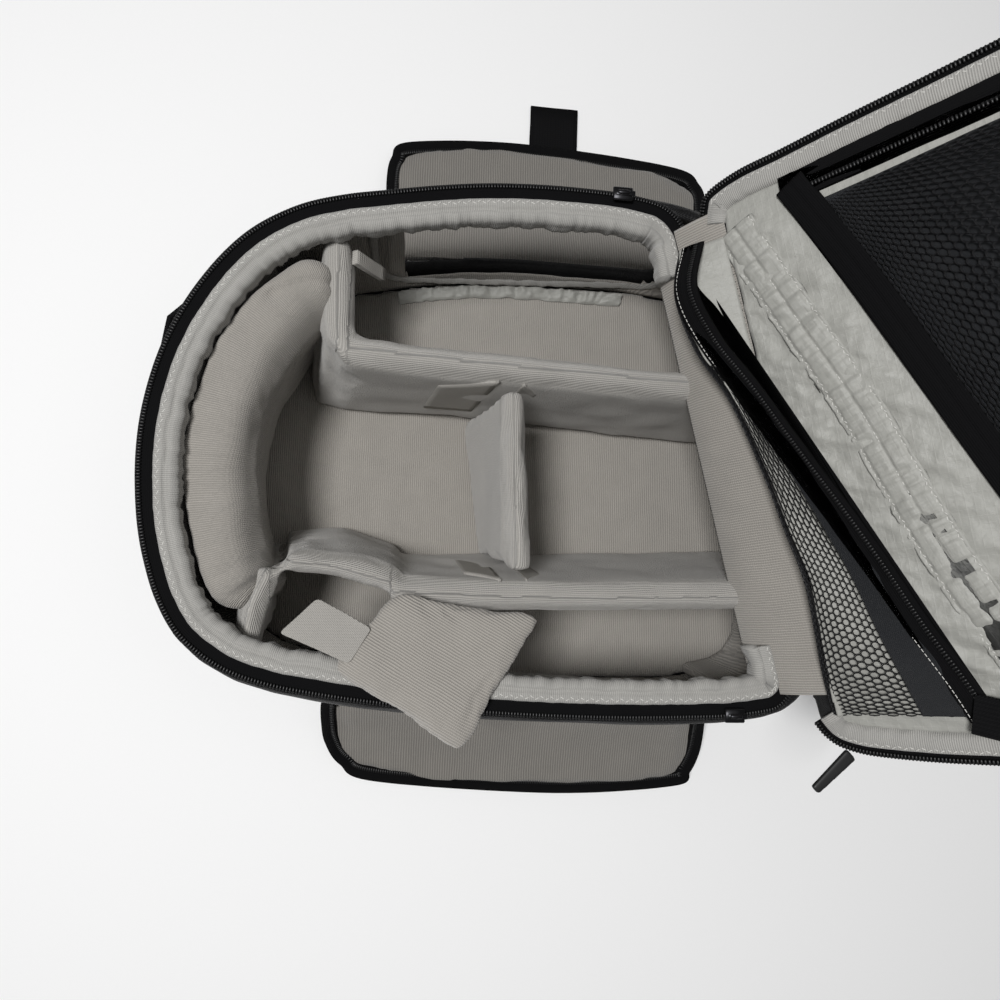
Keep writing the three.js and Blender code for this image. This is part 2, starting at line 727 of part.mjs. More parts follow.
// End pads, between the long dividers and in the near corner.
const betweenDividers = alongWall(endPadSection(STAND, END_PAD_TOP), END_NEAR, END_FAR);
const dividerCutter = (rows, thickness) => loft(dividerRings(rows, thickness + 4 * CLEAR));
const longDividers = [
  dividerCutter(extended(upperRows), DIVIDER),
  dividerCutter(extended(lowerRows), LOWER_DIVIDER),
];
function extended(rows) {
  const stretch = (key) => {
    const [a, b] = [rows.at(-2)[key], rows.at(-1)[key]];
    return b.clone().add(b.clone().sub(a).setZ(0).normalize().multiplyScalar(3 * END_PAD));
  };
  const lowered = (p) => p.clone().setZ(p.z - CLEAR * 2);
  const first = rows.slice(0, -1).map((row) => ({ foot: lowered(row.foot), top: row.top }));
  return [...first, { foot: lowered(stretch("foot")), top: stretch("top") }];
}
function bodyNear(geometry, point) {
  const parts = toSolid(geometry).decompose();
  const distance = (part) => {
    const box = part.boundingBox();
    const middle = box.min.map((low, i) => (low + box.max[i]) / 2);
    return Math.hypot(middle[0] - point.x, middle[1] - point.y);
  };
  parts.sort((a, b) => distance(a) - distance(b));
  return toGeometry(parts[0]);
}
piece(
  "end_pad",
  bodyNear(cut(betweenDividers, longDividers), new THREE.Vector3(BASE_REACH, 0, 0)),
  greyKnit,
);
piece(
  "corner_pad",
  bodyNear(
    cut(alongWall(endPadSection(STAND, CORNER_PAD_TOP), RIM_END, END_NEAR), longDividers),
    new THREE.Vector3(BASE_REACH, -HALF_WIDTH, 0),
  ),
  greyKnit,
);

// Loose divider, resting on the lower divider and on the near rim.
const LOOSE = [
  { along: -0.425, across: -0.81 },
  { along: -0.24, across: -0.54 },
  { along: 0.215, across: -0.615 },
  { along: -0.03, across: -1.1 },
];
const LOOSE_ROLL = 0.045;
const looseRun = HALF_WIDTH * 0.415;
const looseRise = RIM_HEIGHT - DIVIDER_TOP;
const looseSlope = looseRise / looseRun;
const looseHeight = (x, y) =>
  DIVIDER_TOP + 2 * CLEAR + (-0.535 * HALF_WIDTH - y) * looseSlope - x * LOOSE_ROLL;
function roundedPolygon(points, radius) {
  const shape = new THREE.Shape();
  points.forEach((p, i) => {
    const before = points.at(i - 1);
    const after = points[(i + 1) % points.length];
    const a = p.clone().add(before.clone().sub(p).normalize().multiplyScalar(radius));
    const b = p.clone().add(after.clone().sub(p).normalize().multiplyScalar(radius));
    if (i === 0) shape.moveTo(a.x, a.y);
    else shape.lineTo(a.x, a.y);
    shape.quadraticCurveTo(p.x, p.y, b.x, b.y);
  });
  shape.closePath();
  return shape;
}
function looseSolid(outline, thickness, radius, lift) {
  const bevel = thickness * 0.3;
  const shape = roundedPolygon(
    outline.map(({ along, across }) => new THREE.Vector2(along * HALF_LENGTH, across * HALF_WIDTH)),
    radius,
  );
  const geometry = new THREE.ExtrudeGeometry(shape, {
    depth: thickness - 2 * bevel,
    bevelThickness: bevel,
    bevelSize: bevel,
    bevelOffset: -bevel,
    bevelSegments: 2,
    curveSegments: 4,
  });
  geometry.translate(0, 0, bevel + lift);
  const positions = geometry.getAttribute("position");
  for (let i = 0; i < positions.count; i++) {
    const lifted = looseHeight(positions.getX(i), positions.getY(i));
    positions.setZ(i, positions.getZ(i) + lifted);
  }
  return closedForm(geometry);
}
function closedForm(geometry) {
  geometry.deleteAttribute("normal");
  geometry.deleteAttribute("uv");
  return facingOut(mergeVertices(geometry, 1e-3));
}
piece("loose_divider", looseSolid(LOOSE, LOOSE_PAD, 9, 0), greyKnit);
const LOOSE_TAB = [
  { along: -0.56, across: -0.69 },
  { along: -0.46, across: -0.57 },
  { along: -0.3, across: -0.67 },
  { along: -0.36, across: -0.79 },
];
piece("loose_divider_tab", looseSolid(LOOSE_TAB, TAB, 3, LOOSE_PAD + CLEAR), greyBinding);

// Door bindings: a strip round each opening on the inner face of the lining.
function doorBinding(door) {
  const edge = doorShape(door, DOOR_BINDING_WIDTH / 2).getSpacedPoints(56).slice(0, -1);
  const wallY = (x, z) => reach(x, 0, 0, door.side, z, INSIDE).y;
  const middle = new THREE.Vector2(
    ((door.left + door.right) / 2) * HALF_LENGTH,
    (DOOR_SILL + DOOR_HEAD) / 2,
  );
  const rings = edge.map((p, i) => {
    const along = edge[(i + 1) % edge.length].clone().sub(edge.at(i - 1)).normalize();
    const out = new THREE.Vector2(along.y, -along.x);
    if (out.dot(p.clone().sub(middle)) < 0) out.negate();
    const at = (sideways, depth) => {
      const x = p.x + (out.x * sideways * DOOR_BINDING_WIDTH) / 2;
      const z = Math.max(p.y + (out.y * sideways * DOOR_BINDING_WIDTH) / 2, STAND);
      return new THREE.Vector3(x, wallY(x, z) - door.side * (CLEAR + depth), z);
    };
    return [at(-1, 0), at(1, 0), at(1, DOOR_BINDING * 0.6), at(0, DOOR_BINDING), at(-1, 1.5)];
  });
  return loft(rings, true);
}
piece("far_door_binding", doorBinding(DOORS.far), greyBinding);
piece("near_door_binding", doorBinding(DOORS.near), greyBinding);

// Gathered strip of thin cloth on the floor along the far door's sill.
const RUFFLE = { from: 1, to: 6, inset: DOOR_BINDING + 6 * CLEAR, width: 9, height: 5.5 };
const ruffleSection = [
  [INSIDE + RUFFLE.inset, STAND],
  [INSIDE + RUFFLE.inset + RUFFLE.width, STAND],
  [INSIDE + RUFFLE.inset + 0.8 * RUFFLE.width, STAND + 0.7 * RUFFLE.height],
  [INSIDE + RUFFLE.inset, STAND + RUFFLE.height],
];
piece("far_door_ruffle", alongWall(ruffleSection, RUFFLE.from, RUFFLE.to), greyNylon);

// Side door flaps, folded out from the sills onto the ground. Out and drop are
// shares of the flap's length and of the sill's height, left and right of half
// the rim's length.
const FLAPS = {
  far: {
    side: 1,
    length: FAR_FLAP_LENGTH,
    rows: [
      { out: 0.0, left: -0.33, right: 0.92, drop: 0.0 },
      { out: 0.15, left: -0.335, right: 0.95, drop: 0.2 },
      { out: 0.35, left: -0.345, right: 0.98, drop: 0.5 },
      { out: 0.6, left: -0.355, right: 1.0, drop: 0.8 },
      { out: 0.8, left: -0.34, right: 0.98, drop: 0.93 },
      { out: 0.93, left: -0.27, right: 0.85, drop: 0.98 },
      { out: 1.0, left: -0.1, right: 0.5, drop: 1.0 },
    ],
  },
  near: {
    side: -1,
    length: NEAR_FLAP_LENGTH,
    rows: [
      { out: 0.0, left: -0.5, right: 0.98, drop: 0.0 },
      { out: 0.15, left: -0.505, right: 1.0, drop: 0.25 },
      { out: 0.35, left: -0.51, right: 1.02, drop: 0.6 },
      { out: 0.6, left: -0.48, right: 1.02, drop: 0.85 },
      { out: 0.8, left: -0.4, right: 0.99, drop: 0.95 },
      { out: 0.93, left: -0.2, right: 0.93, drop: 0.99 },
      { out: 1.0, left: 0.1, right: 0.75, drop: 1.0 },
    ],
  },
};
const FLAP_TIP = 3.6 + FLAP_THICKNESS / 2;
const flapRoot = DOOR_SILL - FLAP_THICKNESS / 2 - CLEAR;
function flapEdges(flap) {
  const rootY = Math.max(
    ...tubRing(flapRoot - FLAP_THICKNESS, 0).map((p) => p.y * flap.side),
    ...tubRing(DOOR_SILL, 0).map((p) => p.y * flap.side),
  );
  return flap.rows.map(({ out, left, right, drop }) => {
    const y = flap.side * (rootY + 2 * CLEAR + out * flap.length);
    const z = lerp(flapRoot, FLAP_TIP, drop);
    return [
      new THREE.Vector3(left * HALF_LENGTH, y, z),
      new THREE.Vector3(right * HALF_LENGTH, y, z),
    ];
  });
}
// A padded section between two edge points, rounded at both edges.
function padSection(a, b, up, thickness) {
  const across = b.clone().sub(a).normalize();
  const at = (p, inward, rise) =>
    p
      .clone()
      .addScaledVector(across, inward * thickness)
      .addScaledVector(up, rise * thickness);
  return [
    at(a, 0, -0.2),
    at(a, 0.3, -0.5),
    at(b, -0.3, -0.5),
    at(b, 0, -0.2),
    at(b, 0, 0.2),
    at(b, -0.3, 0.5),
    at(a, 0.3, 0.5),
    at(a, 0, 0.2),
  ];
}
function flapPad(flap) {
  const edges = flapEdges(flap);
  return loft(
    edges.map(([a, b], i) => {
      const before = edges[Math.max(i - 1, 0)][0];
      const after = edges[Math.min(i + 1, edges.length - 1)][0];
      const slope = new THREE.Vector3(0, after.y - before.y, after.z - before.z).normalize();
      const tilted = new THREE.Vector3(0, -slope.z * flap.side, Math.abs(slope.y));
      const up = i === 0 ? new THREE.Vector3(0, 0, 1) : tilted;
      return padSection(a, b, up, FLAP_THICKNESS);
    }),
  );
}
function flapEdge(flap) {
  const edges = flapEdges(flap);
  const path = [...edges.map(([a]) => a), ...edges.map(([, b]) => b).toReversed()];
  const curve = new THREE.CatmullRomCurve3(path, false, "centripetal");
  const points = curve.getPoints(2 * (path.length - 1));
  return loft(
    points.map((p, i) => {
      const along = points[Math.min(i + 1, points.length - 1)]
        .clone()
        .sub(points[Math.max(i - 1, 0)])
        .normalize();
      const out = new THREE.Vector3(along.y, -along.x, 0).normalize().multiplyScalar(-flap.side);
      const up = new THREE.Vector3().crossVectors(out, along).normalize();
      if (up.z < 0) up.negate();
      const at = (sideways, rise) =>
        p
          .clone()
          .addScaledVector(out, sideways)
          .addScaledVector(up, rise * FLAP_THICKNESS);
      const inner = 2 * CLEAR;
      return [
        at(inner, -0.3),
        at(inner + FLAP_EDGE, -0.22),
        at(inner + FLAP_EDGE, 0.22),
        at(inner, 0.35),
      ];
    }),
  );
}
for (const [name, flap] of Object.entries(FLAPS)) {
  piece(name + "_flap", flapPad(flap), greyKnit);
  piece(name + "_flap_edge", flapEdge(flap), blackWebbing);
}

// The lid, in its own frame: u along the hinge from the near end, v out from
// the hinge, w towards the inside.
const lidPoint = (u, v, w) =>
  hingeNear
    .clone()
    .addScaledVector(hingeDirection, u)
    .addScaledVector(lidOutward, v)
    .addScaledVector(lidInward, w);
// Lid outline: across is a share of the lid's width from its near edge, out of its length.
const LID_OUTLINE = [
  { across: 0.86, out: 0.004 },
  { across: 0.94, out: 0.004 },
  { across: 0.99, out: 0.03 },
  { across: 1.0, out: 0.15 },
  { across: 1.0, out: 0.35 },
  { across: 0.998, out: 0.55 },
  { across: 0.985, out: 0.72 },
  { across: 0.95, out: 0.84 },
  { across: 0.87, out: 0.94 },
  { across: 0.75, out: 0.985 },
  { across: 0.58, out: 1.0 },
  { across: 0.4, out: 0.997 },
  { across: 0.24, out: 0.965 },
  { across: 0.12, out: 0.9 },
  { across: 0.05, out: 0.8 },
  { across: 0.015, out: 0.66 },
  { across: 0.002, out: 0.45 },
  { across: 0.0, out: 0.25 },
  { across: 0.004, out: 0.1 },
  { across: 0.02, out: 0.035 },
  { across: 0.06, out: 0.004 },
  { across: 0.14, out: 0.004 },
];
const LID_FOOT = LID_OUTLINE[0].out * LID_LENGTH;
const lidControls = [
  ...LID_OUTLINE,
  { across: 0.38, out: 0.004 },
  { across: 0.62, out: 0.004 },
].map(
  ({ across, out }) =>
    new THREE.Vector3(across * LID_WIDTH - LID_OVERHANG, out * LID_LENGTH, 0),
);
const lidCurve = new THREE.CatmullRomCurve3(lidControls, true, "centripetal");
const lidOuter = lidCurve.getPoints(lidControls.length * RING_STEPS).slice(0, -1);
const LID_RIM_FROM = RING_STEPS;
const LID_RIM_END = (LID_OUTLINE.length - 2) * RING_STEPS;
const lidRing = (inset, w) => offsetRing(lidOuter, inset).map((p) => lidPoint(p.x, p.y, w));
const lidSeat = -LID_BINDING_HEIGHT * 0.5;
const lidPanelTop = lidSeat - CLEAR;
// The panel's rounded back: inset as a share of LID_CROWN, depth of LID_THICKNESS.
const LID_BACK = [
  { inset: 0.0, depth: 0.0 },
  { inset: 0.0, depth: 0.35 },
  { inset: 0.06, depth: 0.7 },
  { inset: 0.33, depth: 0.95 },
  { inset: 1.0, depth: 1.0 },
];
const lidPanelRings = LID_BACK.map(({ inset, depth }) =>
  lidRing(inset * LID_CROWN, lidPanelTop - depth * LID_THICKNESS),
);
piece("lid_panel", loft(lidPanelRings), blackNylon);

function alongLid(section, from, to) {
  const rings = section.map(([inset, w]) => lidRing(inset, w));
  const stations = [];
  for (let i = from; i <= to; i++) {
    stations.push(rings.map((ring) => ring[i % ring.length]));
  }
  return loft(stations);
}
const lidZipSection = [
  [0, lidSeat],
  [LID_ZIP_WIDTH, lidSeat],
  [LID_ZIP_WIDTH, lidSeat + TAPE],
  [LID_ZIP_WIDTH * 0.7, lidSeat + TAPE + COIL],
  [0.5, lidSeat + TAPE + COIL],
];
piece("lid_zip", alongLid(lidZipSection, LID_RIM_FROM, LID_RIM_END), blackWebbing);
const lidBindingFrom = LID_ZIP_WIDTH + CLEAR;
const lidBindingTo = lidBindingFrom + LID_BINDING_WIDTH;
const lidBindingSection = [
  [lidBindingFrom, lidSeat],
  [lidBindingTo, lidSeat],
  [lidBindingTo, lidSeat + 0.6 * LID_BINDING_HEIGHT],
  [lerp(lidBindingFrom, lidBindingTo, 0.7), lidSeat + LID_BINDING_HEIGHT],
  [lerp(lidBindingFrom, lidBindingTo, 0.25), lidSeat + LID_BINDING_HEIGHT],
  [lidBindingFrom, lidSeat + 0.6 * LID_BINDING_HEIGHT],
];
piece("lid_binding", alongLid(lidBindingSection, LID_RIM_FROM + 1, LID_RIM_END - 1), greyBinding);

const lidLiningInset = lidBindingTo + 3 * CLEAR;
const lidLiningRings = [lidSeat, lidSeat + LID_LINING].map((w) => lidRing(lidLiningInset, w));
piece("lid_lining", loft(lidLiningRings), greyNylon);
const lidFace = lidSeat + LID_LINING + CLEAR;

// A flat strip along a path of (u, v, w) points.
function lidBand(path, width, thickness) {
  return loft(
    path.map(([u, v, w], i) => {
      const [pu, pv] = path[Math.max(i - 1, 0)];
      const [nu, nv] = path[Math.min(i + 1, path.length - 1)];
      const length = Math.hypot(nu - pu, nv - pv);
      const [su, sv] = [(-(nv - pv) / length) * width * 0.5, ((nu - pu) / length) * width * 0.5];
      return [
        lidPoint(u - su, v - sv, w),
        lidPoint(u + su, v + sv, w),
        lidPoint(u + su, v + sv, w + thickness),
        lidPoint(u - su, v - sv, w + thickness),
      ];
    }),
  );
}

// Low pocket: across is a share of the lid's width, the v columns of its
// length and the w columns of the pocket's depth.
const LOW_POCKET = [
  { across: 0.905, bandV: 0.0, bandW: 0.35, bellyV: -0.03, bellyW: 0.2 },
  { across: 0.82, bandV: -0.005, bandW: 1.0, bellyV: -0.035, bellyW: 0.72 },
  { across: 0.727, bandV: 0.008, bandW: 0.79, bellyV: -0.022, bellyW: 0.72 },
  { across: 0.634, bandV: 0.042, bandW: 0.57, bellyV: 0.006, bellyW: 0.57 },
  { across: 0.517, bandV: 0.082, bandW: 0.39, bellyV: 0.032, bellyW: 0.62 },
  { across: 0.395, bandV: 0.127, bandW: 0.25, bellyV: 0.055, bellyW: 0.79 },
  { across: 0.305, bandV: 0.159, bandW: 0.21, bellyV: 0.066, bellyW: 0.75 },
  { across: 0.217, bandV: 0.188, bandW: 0.18, bellyV: 0.06, bellyW: 0.6 },
  { across: 0.13, bandV: 0.222, bandW: 0.14, bellyV: 0.05, bellyW: 0.3 },
  { across: 0.075, bandV: 0.24, bandW: 0.12, bellyV: 0.05, bellyW: 0.12 },
];
const lowPocketRow = (row) => ({
  across: row.across,
  u: row.across * LID_WIDTH - LID_OVERHANG,
  band: [row.bandV * LID_LENGTH, lidFace + row.bandW * POCKET_DEPTH],
  belly: [row.bellyV * LID_LENGTH, lidFace + row.bellyW * POCKET_DEPTH],
});
const lowPocket = LOW_POCKET.map(lowPocketRow);
piece(
  "lid_pocket_band",
  lidBand(
    lowPocket.map(({ u, band: [v, w] }) => [u, v, w + CLEAR]),
    POCKET_BAND,
    BAND_THICKNESS,
  ),
  blackWebbing,
);
// A thin sheet through rows of (u, v, w) points, with its other face set back
// square to each row, towards the lid, or away from it where back is negative.
function lidSheet(rows, back) {
  const square = ([, av, aw], [, bv, bw]) => {
    const length = Math.hypot(bv - av, bw - aw);
    return [(bw - aw) / length, (av - bv) / length];
  };
  const setBack = (row) => ([u, v, w], i) => {
    const k = Math.max(i - 1, 0);
    const next = Math.min(i, row.length - 2);
    const [pv, pw] = square(row[k], row[k + 1]);
    const [nv, nw] = square(row[next], row[next + 1]);
    const share = back / (1 + pv * nv + pw * nw);
    return lidPoint(u, v + (pv + nv) * share, w + (pw + nw) * share);
  };
  const rings = rows.map((row) => [
    ...row.map(([u, v, w]) => lidPoint(u, v, w)),
    ...row.map(setBack(row)).toReversed(),
  ]);
  return loft(rings, false, capStrip);
}
const STRIP = [
  { across: 0.91, out: 0.06 },
  { across: 0.722, out: 0.122 },
  { across: 0.57, out: 0.173 },
  { across: 0.334, out: 0.236 },
  { across: 0.185, out: 0.29 },
  { across: 0.078, out: 0.33 },
];
// The net's foot keeps below the gathered strip.
const footV = (across) => {
  const strip = tableValue(STRIP.toReversed(), across, "out", "across") * LID_LENGTH;
  return Math.min(0.045 * LID_LENGTH, strip - 0.6 * GATHERED_STRIP);
};
const seamV = 0.62 * POCKET_BAND;
piece(
  "lid_pocket_net",
  lidSheet(
    lowPocket.map(({ across, u, band, belly }) => [
      [u, footV(across), lidFace + 0.5 * NET],
      [u, lerp(belly[0], footV(across), 0.45), lerp(lidFace, belly[1], 0.45)],
      [u, belly[0], belly[1]],
      [u, band[0] - seamV, band[1]],
      [u, band[0], band[1]],
    ]),
    NET,
  ),
  blackNet,
);

const onLid = (w) => ({ across, out }) => [across * LID_WIDTH - LID_OVERHANG, out * LID_LENGTH, w];
piece(
  "lid_gathered_strip",
  lidBand(STRIP.map(onLid(lidFace)), GATHERED_STRIP, BAND_THICKNESS),
  greyNylon,
);

// High pocket: its slanted edge band, its side zip and its net.
const HIGH_BAND = [
  { across: 0.94, out: 0.152 },
  { across: 0.757, out: 0.22 },
  { across: 0.455, out: 0.318 },
  { across: 0.25, out: 0.39 },
  { across: 0.075, out: 0.46 },
];
piece(
  "lid_high_band",
  lidBand(HIGH_BAND.map(onLid(lidFace + NET + CLEAR)), POCKET_BAND_HIGH, BAND_THICKNESS),
  blackWebbing,
);
// Where the lid's far edge lies at a distance from the hinge, at an inset.
function farEdge(v, inset) {
  const ring = offsetRing(lidOuter, inset);
  const crossings = ring.flatMap((p, i) => {
    const q = ring[(i + 1) % ring.length];
    return (p.y - v) * (q.y - v) > 0 ? [] : [lerp(p.x, q.x, (v - p.y) / (q.y - p.y))];
  });
  return Math.max(...crossings);
}
function archEdge(u, inset) {
  const ring = offsetRing(lidOuter, inset);
  const crossings = ring.flatMap((p, i) => {
    const q = ring[(i + 1) % ring.length];
    return (p.x - u) * (q.x - u) > 0 ? [] : [lerp(p.y, q.y, (u - p.x) / (q.x - p.x))];
  });
  return Math.max(...crossings);
}
const HIGH_ZIP = 0.8 * POCKET_BAND_HIGH;
const HIGH_ZIP_RUN = { from: 0.19, to: 0.74 };
const highZip = [0, 0.33, 0.66, 1].map((share) => {
  const v = lerp(HIGH_ZIP_RUN.from, HIGH_ZIP_RUN.to, share) * LID_LENGTH;
  return [farEdge(v, lidLiningInset) - HIGH_ZIP / 2 - CLEAR, v, lidFace];
});
piece("lid_high_zip", lidBand(highZip, HIGH_ZIP, BAND_THICKNESS), blackWebbing);
const highNetEdge = Math.min(...highZip.map(([u]) => u)) - HIGH_ZIP / 2 - 2 * CLEAR;
const highNetRows = [1, 0.91, 0.77, 0.6, 0.42, 0.24, 0.09].map((share) => {
  const across = (highNetEdge * share + LID_OVERHANG * share) / LID_WIDTH;
  const u = across * LID_WIDTH - LID_OVERHANG;
  const low = tableValue(HIGH_BAND.toReversed(), across, "out", "across") * LID_LENGTH;
  const high = archEdge(u, lidLiningInset + 6);
  return [0, 0.1, 0.35, 0.7, 1].map((rise) => {
    const swell = Math.sin(Math.PI * Math.max(0, (rise - 0.1) / 0.9)) * Math.sin(Math.PI * across);
    return [u, lerp(low, high, rise), lidFace + HIGH_NET_SWELL * swell];
  });
});
piece("lid_high_net", lidSheet(highNetRows, -NET), blackNet);

// Black garage over the near end of the low pocket's zip.
const garage = [0.23, 0.262, 0.3].map((out, i) => [
  (0.05 - 0.01 * i) * LID_WIDTH - LID_OVERHANG + LID_BINDING_WIDTH,
  out * LID_LENGTH,
  lidFace + BAND_THICKNESS + POCKET_DEPTH * 0.12 + 3 * CLEAR,
]);
piece("lid_zip_garage", lidBand(garage, GARAGE_WIDTH, BAND_THICKNESS), blackWebbing);

// Fabric hinge between the tub's end wall and the lid's lower edge.
const hingeStations = [
  MOUTH_CORNER + 6,
  HINGE_LENGTH - MOUTH_CORNER - 6,
].map((u) => {
  const onWall = (out) =>
    lidPoint(u, 0, 0)
      .setZ(SHELL_TOP + CLEAR)
      .addScaledVector(hingeOutward, HINGE_SEAT - out);
  return [
    onWall(WALL - 1),
    onWall(1),
    lidPoint(u, LID_FOOT - 3 * CLEAR, lidPanelTop - 0.3 * LID_THICKNESS),
    lidPoint(u, LID_FOOT - 3 * CLEAR, lidPanelTop - 0.5),
  ];
});
piece("lid_hinge", loft(hingeStations), blackNylon);

// Harness side, under the pack: back pad, shoulder straps and their webbing.
const backPadRings = [
  [PAD_BOTTOM, 1.5 * BACK_PAD_INSET],
  [PAD_BOTTOM + 0.22 * BACK_PAD_THICKNESS, 1.1 * BACK_PAD_INSET],
  [PAD_BOTTOM + BACK_PAD_THICKNESS, BACK_PAD_INSET],
].map(([z, inset]) => tubRing(SHELL_BOTTOM, inset).map((p) => p.setZ(z)));
piece("back_pad", loft(backPadRings), blackNylon);

const SHOULDER = [
  { along: -0.82, across: 0.2, width: 0.8 },
  { along: -0.7, across: 0.24, width: 1.0 },
  { along: -0.35, across: 0.38, width: 1.0 },
  { along: 0.05, across: 0.46, width: 0.95 },
  { along: 0.45, across: 0.46, width: 0.85 },
  { along: 0.75, across: 0.42, width: 0.7 },
];
for (const [name, side] of [
  ["far", 1],
  ["near", -1],
]) {
  const up = new THREE.Vector3(0, 0, 1);
  const pad = SHOULDER.map(({ along, across, width }) => {
    const half = (width * SHOULDER_PAD_WIDTH) / 2;
    const x = along * HALF_LENGTH;
    const y = side * across * HALF_WIDTH;
    const z = STRAP_THICKNESS / 2;
    return padSection(
      new THREE.Vector3(x, y - half, z),
      new THREE.Vector3(x, y + half, z),
      up,
      STRAP_THICKNESS,
    );
  });
  piece(name + "_shoulder_strap", loft(pad), blackNylon);
  const last = SHOULDER.at(-1);
  const webbing = [last.along * HALF_LENGTH + CLEAR, BASE_REACH - WEB_INSET].map((x) => {
    const y = side * last.across * HALF_WIDTH;
    const low = STRAP_THICKNESS - WEBBING;
    return [
      new THREE.Vector3(x, y - SHOULDER_WEB_WIDTH / 2, low),
      new THREE.Vector3(x, y + SHOULDER_WEB_WIDTH / 2, low),
      new THREE.Vector3(x, y + SHOULDER_WEB_WIDTH / 2, STRAP_THICKNESS),
      new THREE.Vector3(x, y - SHOULDER_WEB_WIDTH / 2, STRAP_THICKNESS),
    ];
  });
  piece(name + "_shoulder_webbing", loft(webbing), blackWebbing);
}

// Side strap: webbing from the far wall's foot, out under the flap.
const STRAP_X = 0.345;
const STRAP_SEAM = 8;
const STRAP_LANDING = 24;
const strapRootY =
  reach(STRAP_X * HALF_LENGTH, 0, 0, 1, SHELL_BOTTOM + STRAP_SEAM, 0).y + 2 * CLEAR;
const strapPath = [
  [strapRootY + WEBBING, SHELL_BOTTOM + STRAP_SEAM],
  [strapRootY + 2 * WEBBING, SHELL_BOTTOM - STRAP_SEAM],
  [strapRootY + 4 * WEBBING, 2 * WEBBING],
  [strapRootY + STRAP_LANDING, 0.6 * WEBBING],
  [SIDE_STRAP_REACH, 0.6 * WEBBING],
];
function webbingAlongY(path, x, width) {
  return loft(
    path.map(([y, z], i) => {
      const [py, pz] = path[Math.max(i - 1, 0)];
      const [ny, nz] = path[Math.min(i + 1, path.length - 1)];
      const length = Math.hypot(ny - py, nz - pz);
      const [oy, oz] = [(-(nz - pz) / length) * WEBBING, ((ny - py) / length) * WEBBING];
      return [
        new THREE.Vector3(x - width / 2, y - oy / 2, z - oz / 2),
        new THREE.Vector3(x + width / 2, y - oy / 2, z - oz / 2),
        new THREE.Vector3(x + width / 2, y + oy / 2, z + oz / 2),
        new THREE.Vector3(x - width / 2, y + oy / 2, z + oz / 2),
      ];
    }),
  );
}
piece(
  "side_strap",
  webbingAlongY(strapPath, STRAP_X * HALF_LENGTH, SIDE_STRAP_WIDTH),
  blackWebbing,
);

// Grab loop at the top end, beside the arch. Out is a share of LOOP_REACH.
const LOOP = [
  { index: 11.5, out: 0.017 },
  { index: 11.7, out: 0.34 },
  { index: 12.1, out: 0.83 },
  { index: 12.9, out: 1.0 },
  { index: 13.7, out: 0.83 },
  { index: 14.1, out: 0.34 },
  { index: 14.3, out: 0.017 },
];
const loopStations = LOOP.map(({ index, out }) => {
  const rise = (z, extra) => wallPoint(index, -out * LOOP_REACH - extra, z);
  return [
    rise(LOOP_LEVEL, 0),
    rise(LOOP_LEVEL, WEBBING),
    rise(LOOP_LEVEL + LOOP_WIDTH, WEBBING),
    rise(LOOP_LEVEL + LOOP_WIDTH, 0),
  ];
});
piece("grab_loop", loft(loopStations), blackWebbing);

// Zip sliders at both hinge ends of the rim, and a cord pull at the lid's near corner.
function slider(width, length, height) {
  const shape = roundedPolygon(
    [
      new THREE.Vector2(-length / 2, -width / 2),
      new THREE.Vector2(length / 2, -width * 0.35),
      new THREE.Vector2(length / 2, width * 0.35),
      new THREE.Vector2(-length / 2, width / 2),
    ],
    width * 0.2,
  );
  const geometry = new THREE.ExtrudeGeometry(shape, {
    depth: height,
    bevelEnabled: false,
    curveSegments: 3,
  });
  return closedForm(geometry);
}
const SLIDER = { width: 9, length: 13, height: 5 };
for (const [name, index] of [
  ["far_slider", RIM_START + 1],
  ["near_slider", RIM_END - 1],
]) {
  const seat = wallPoint(index, COIL, RIM_HEIGHT).setZ(RIM_HEIGHT + CLEAR);
  const geometry = slider(SLIDER.width, SLIDER.length, SLIDER.height);
  geometry.translate(seat.x, seat.y, seat.z);
  piece(name, geometry, darkMetal);
}
const PULL = { width: 8, length: 30, height: 3, turn: -137, seat: 1.9 };
const pull = slider(PULL.width, PULL.length, PULL.height);
pull.translate(PULL.length / 2, 0, 0);
pull.rotateZ(radians(PULL.turn));
const pullSeat = lidPoint(PULL.seat - LID_OVERHANG, 0.045 * LID_LENGTH, lidSeat);
pull.translate(pullSeat.x, pullSeat.y, pullSeat.z);
piece("lid_pull", pull, rubber);

// Stand the pack on its straps, with its box centred on the origin.
const box = new THREE.Box3().setFromObject(backpack);
const middle = box.getCenter(new THREE.Vector3());
backpack.position.set(-middle.x, -middle.y, -box.min.z);
backpack.updateMatrixWorld(true);

export default backpack;
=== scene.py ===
"""Dresses the open camera backpack in cloth, padding, zips and nets, in a pale studio."""

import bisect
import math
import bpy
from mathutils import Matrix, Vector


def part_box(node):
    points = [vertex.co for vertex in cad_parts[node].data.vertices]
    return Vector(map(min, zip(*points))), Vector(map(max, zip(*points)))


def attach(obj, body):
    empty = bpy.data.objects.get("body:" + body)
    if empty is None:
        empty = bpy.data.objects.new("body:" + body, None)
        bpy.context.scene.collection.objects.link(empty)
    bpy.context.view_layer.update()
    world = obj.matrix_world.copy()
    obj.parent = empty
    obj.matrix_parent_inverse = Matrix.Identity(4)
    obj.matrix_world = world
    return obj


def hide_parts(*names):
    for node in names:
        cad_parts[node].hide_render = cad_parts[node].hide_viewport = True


bl_info = {
    "name": "Open Camera Backpack",
    "version": (1, 0, 0),
    "blender": (4, 5, 0),
    "location": "View3D > Sidebar > Backpack",
    "description": "Builds an open camera backpack on its packed frame",
    "category": "Object",
}

import bmesh
import bpy
from mathutils import Matrix, Vector, noise
from mathutils.bvhtree import BVHTree
from mathutils.kdtree import KDTree

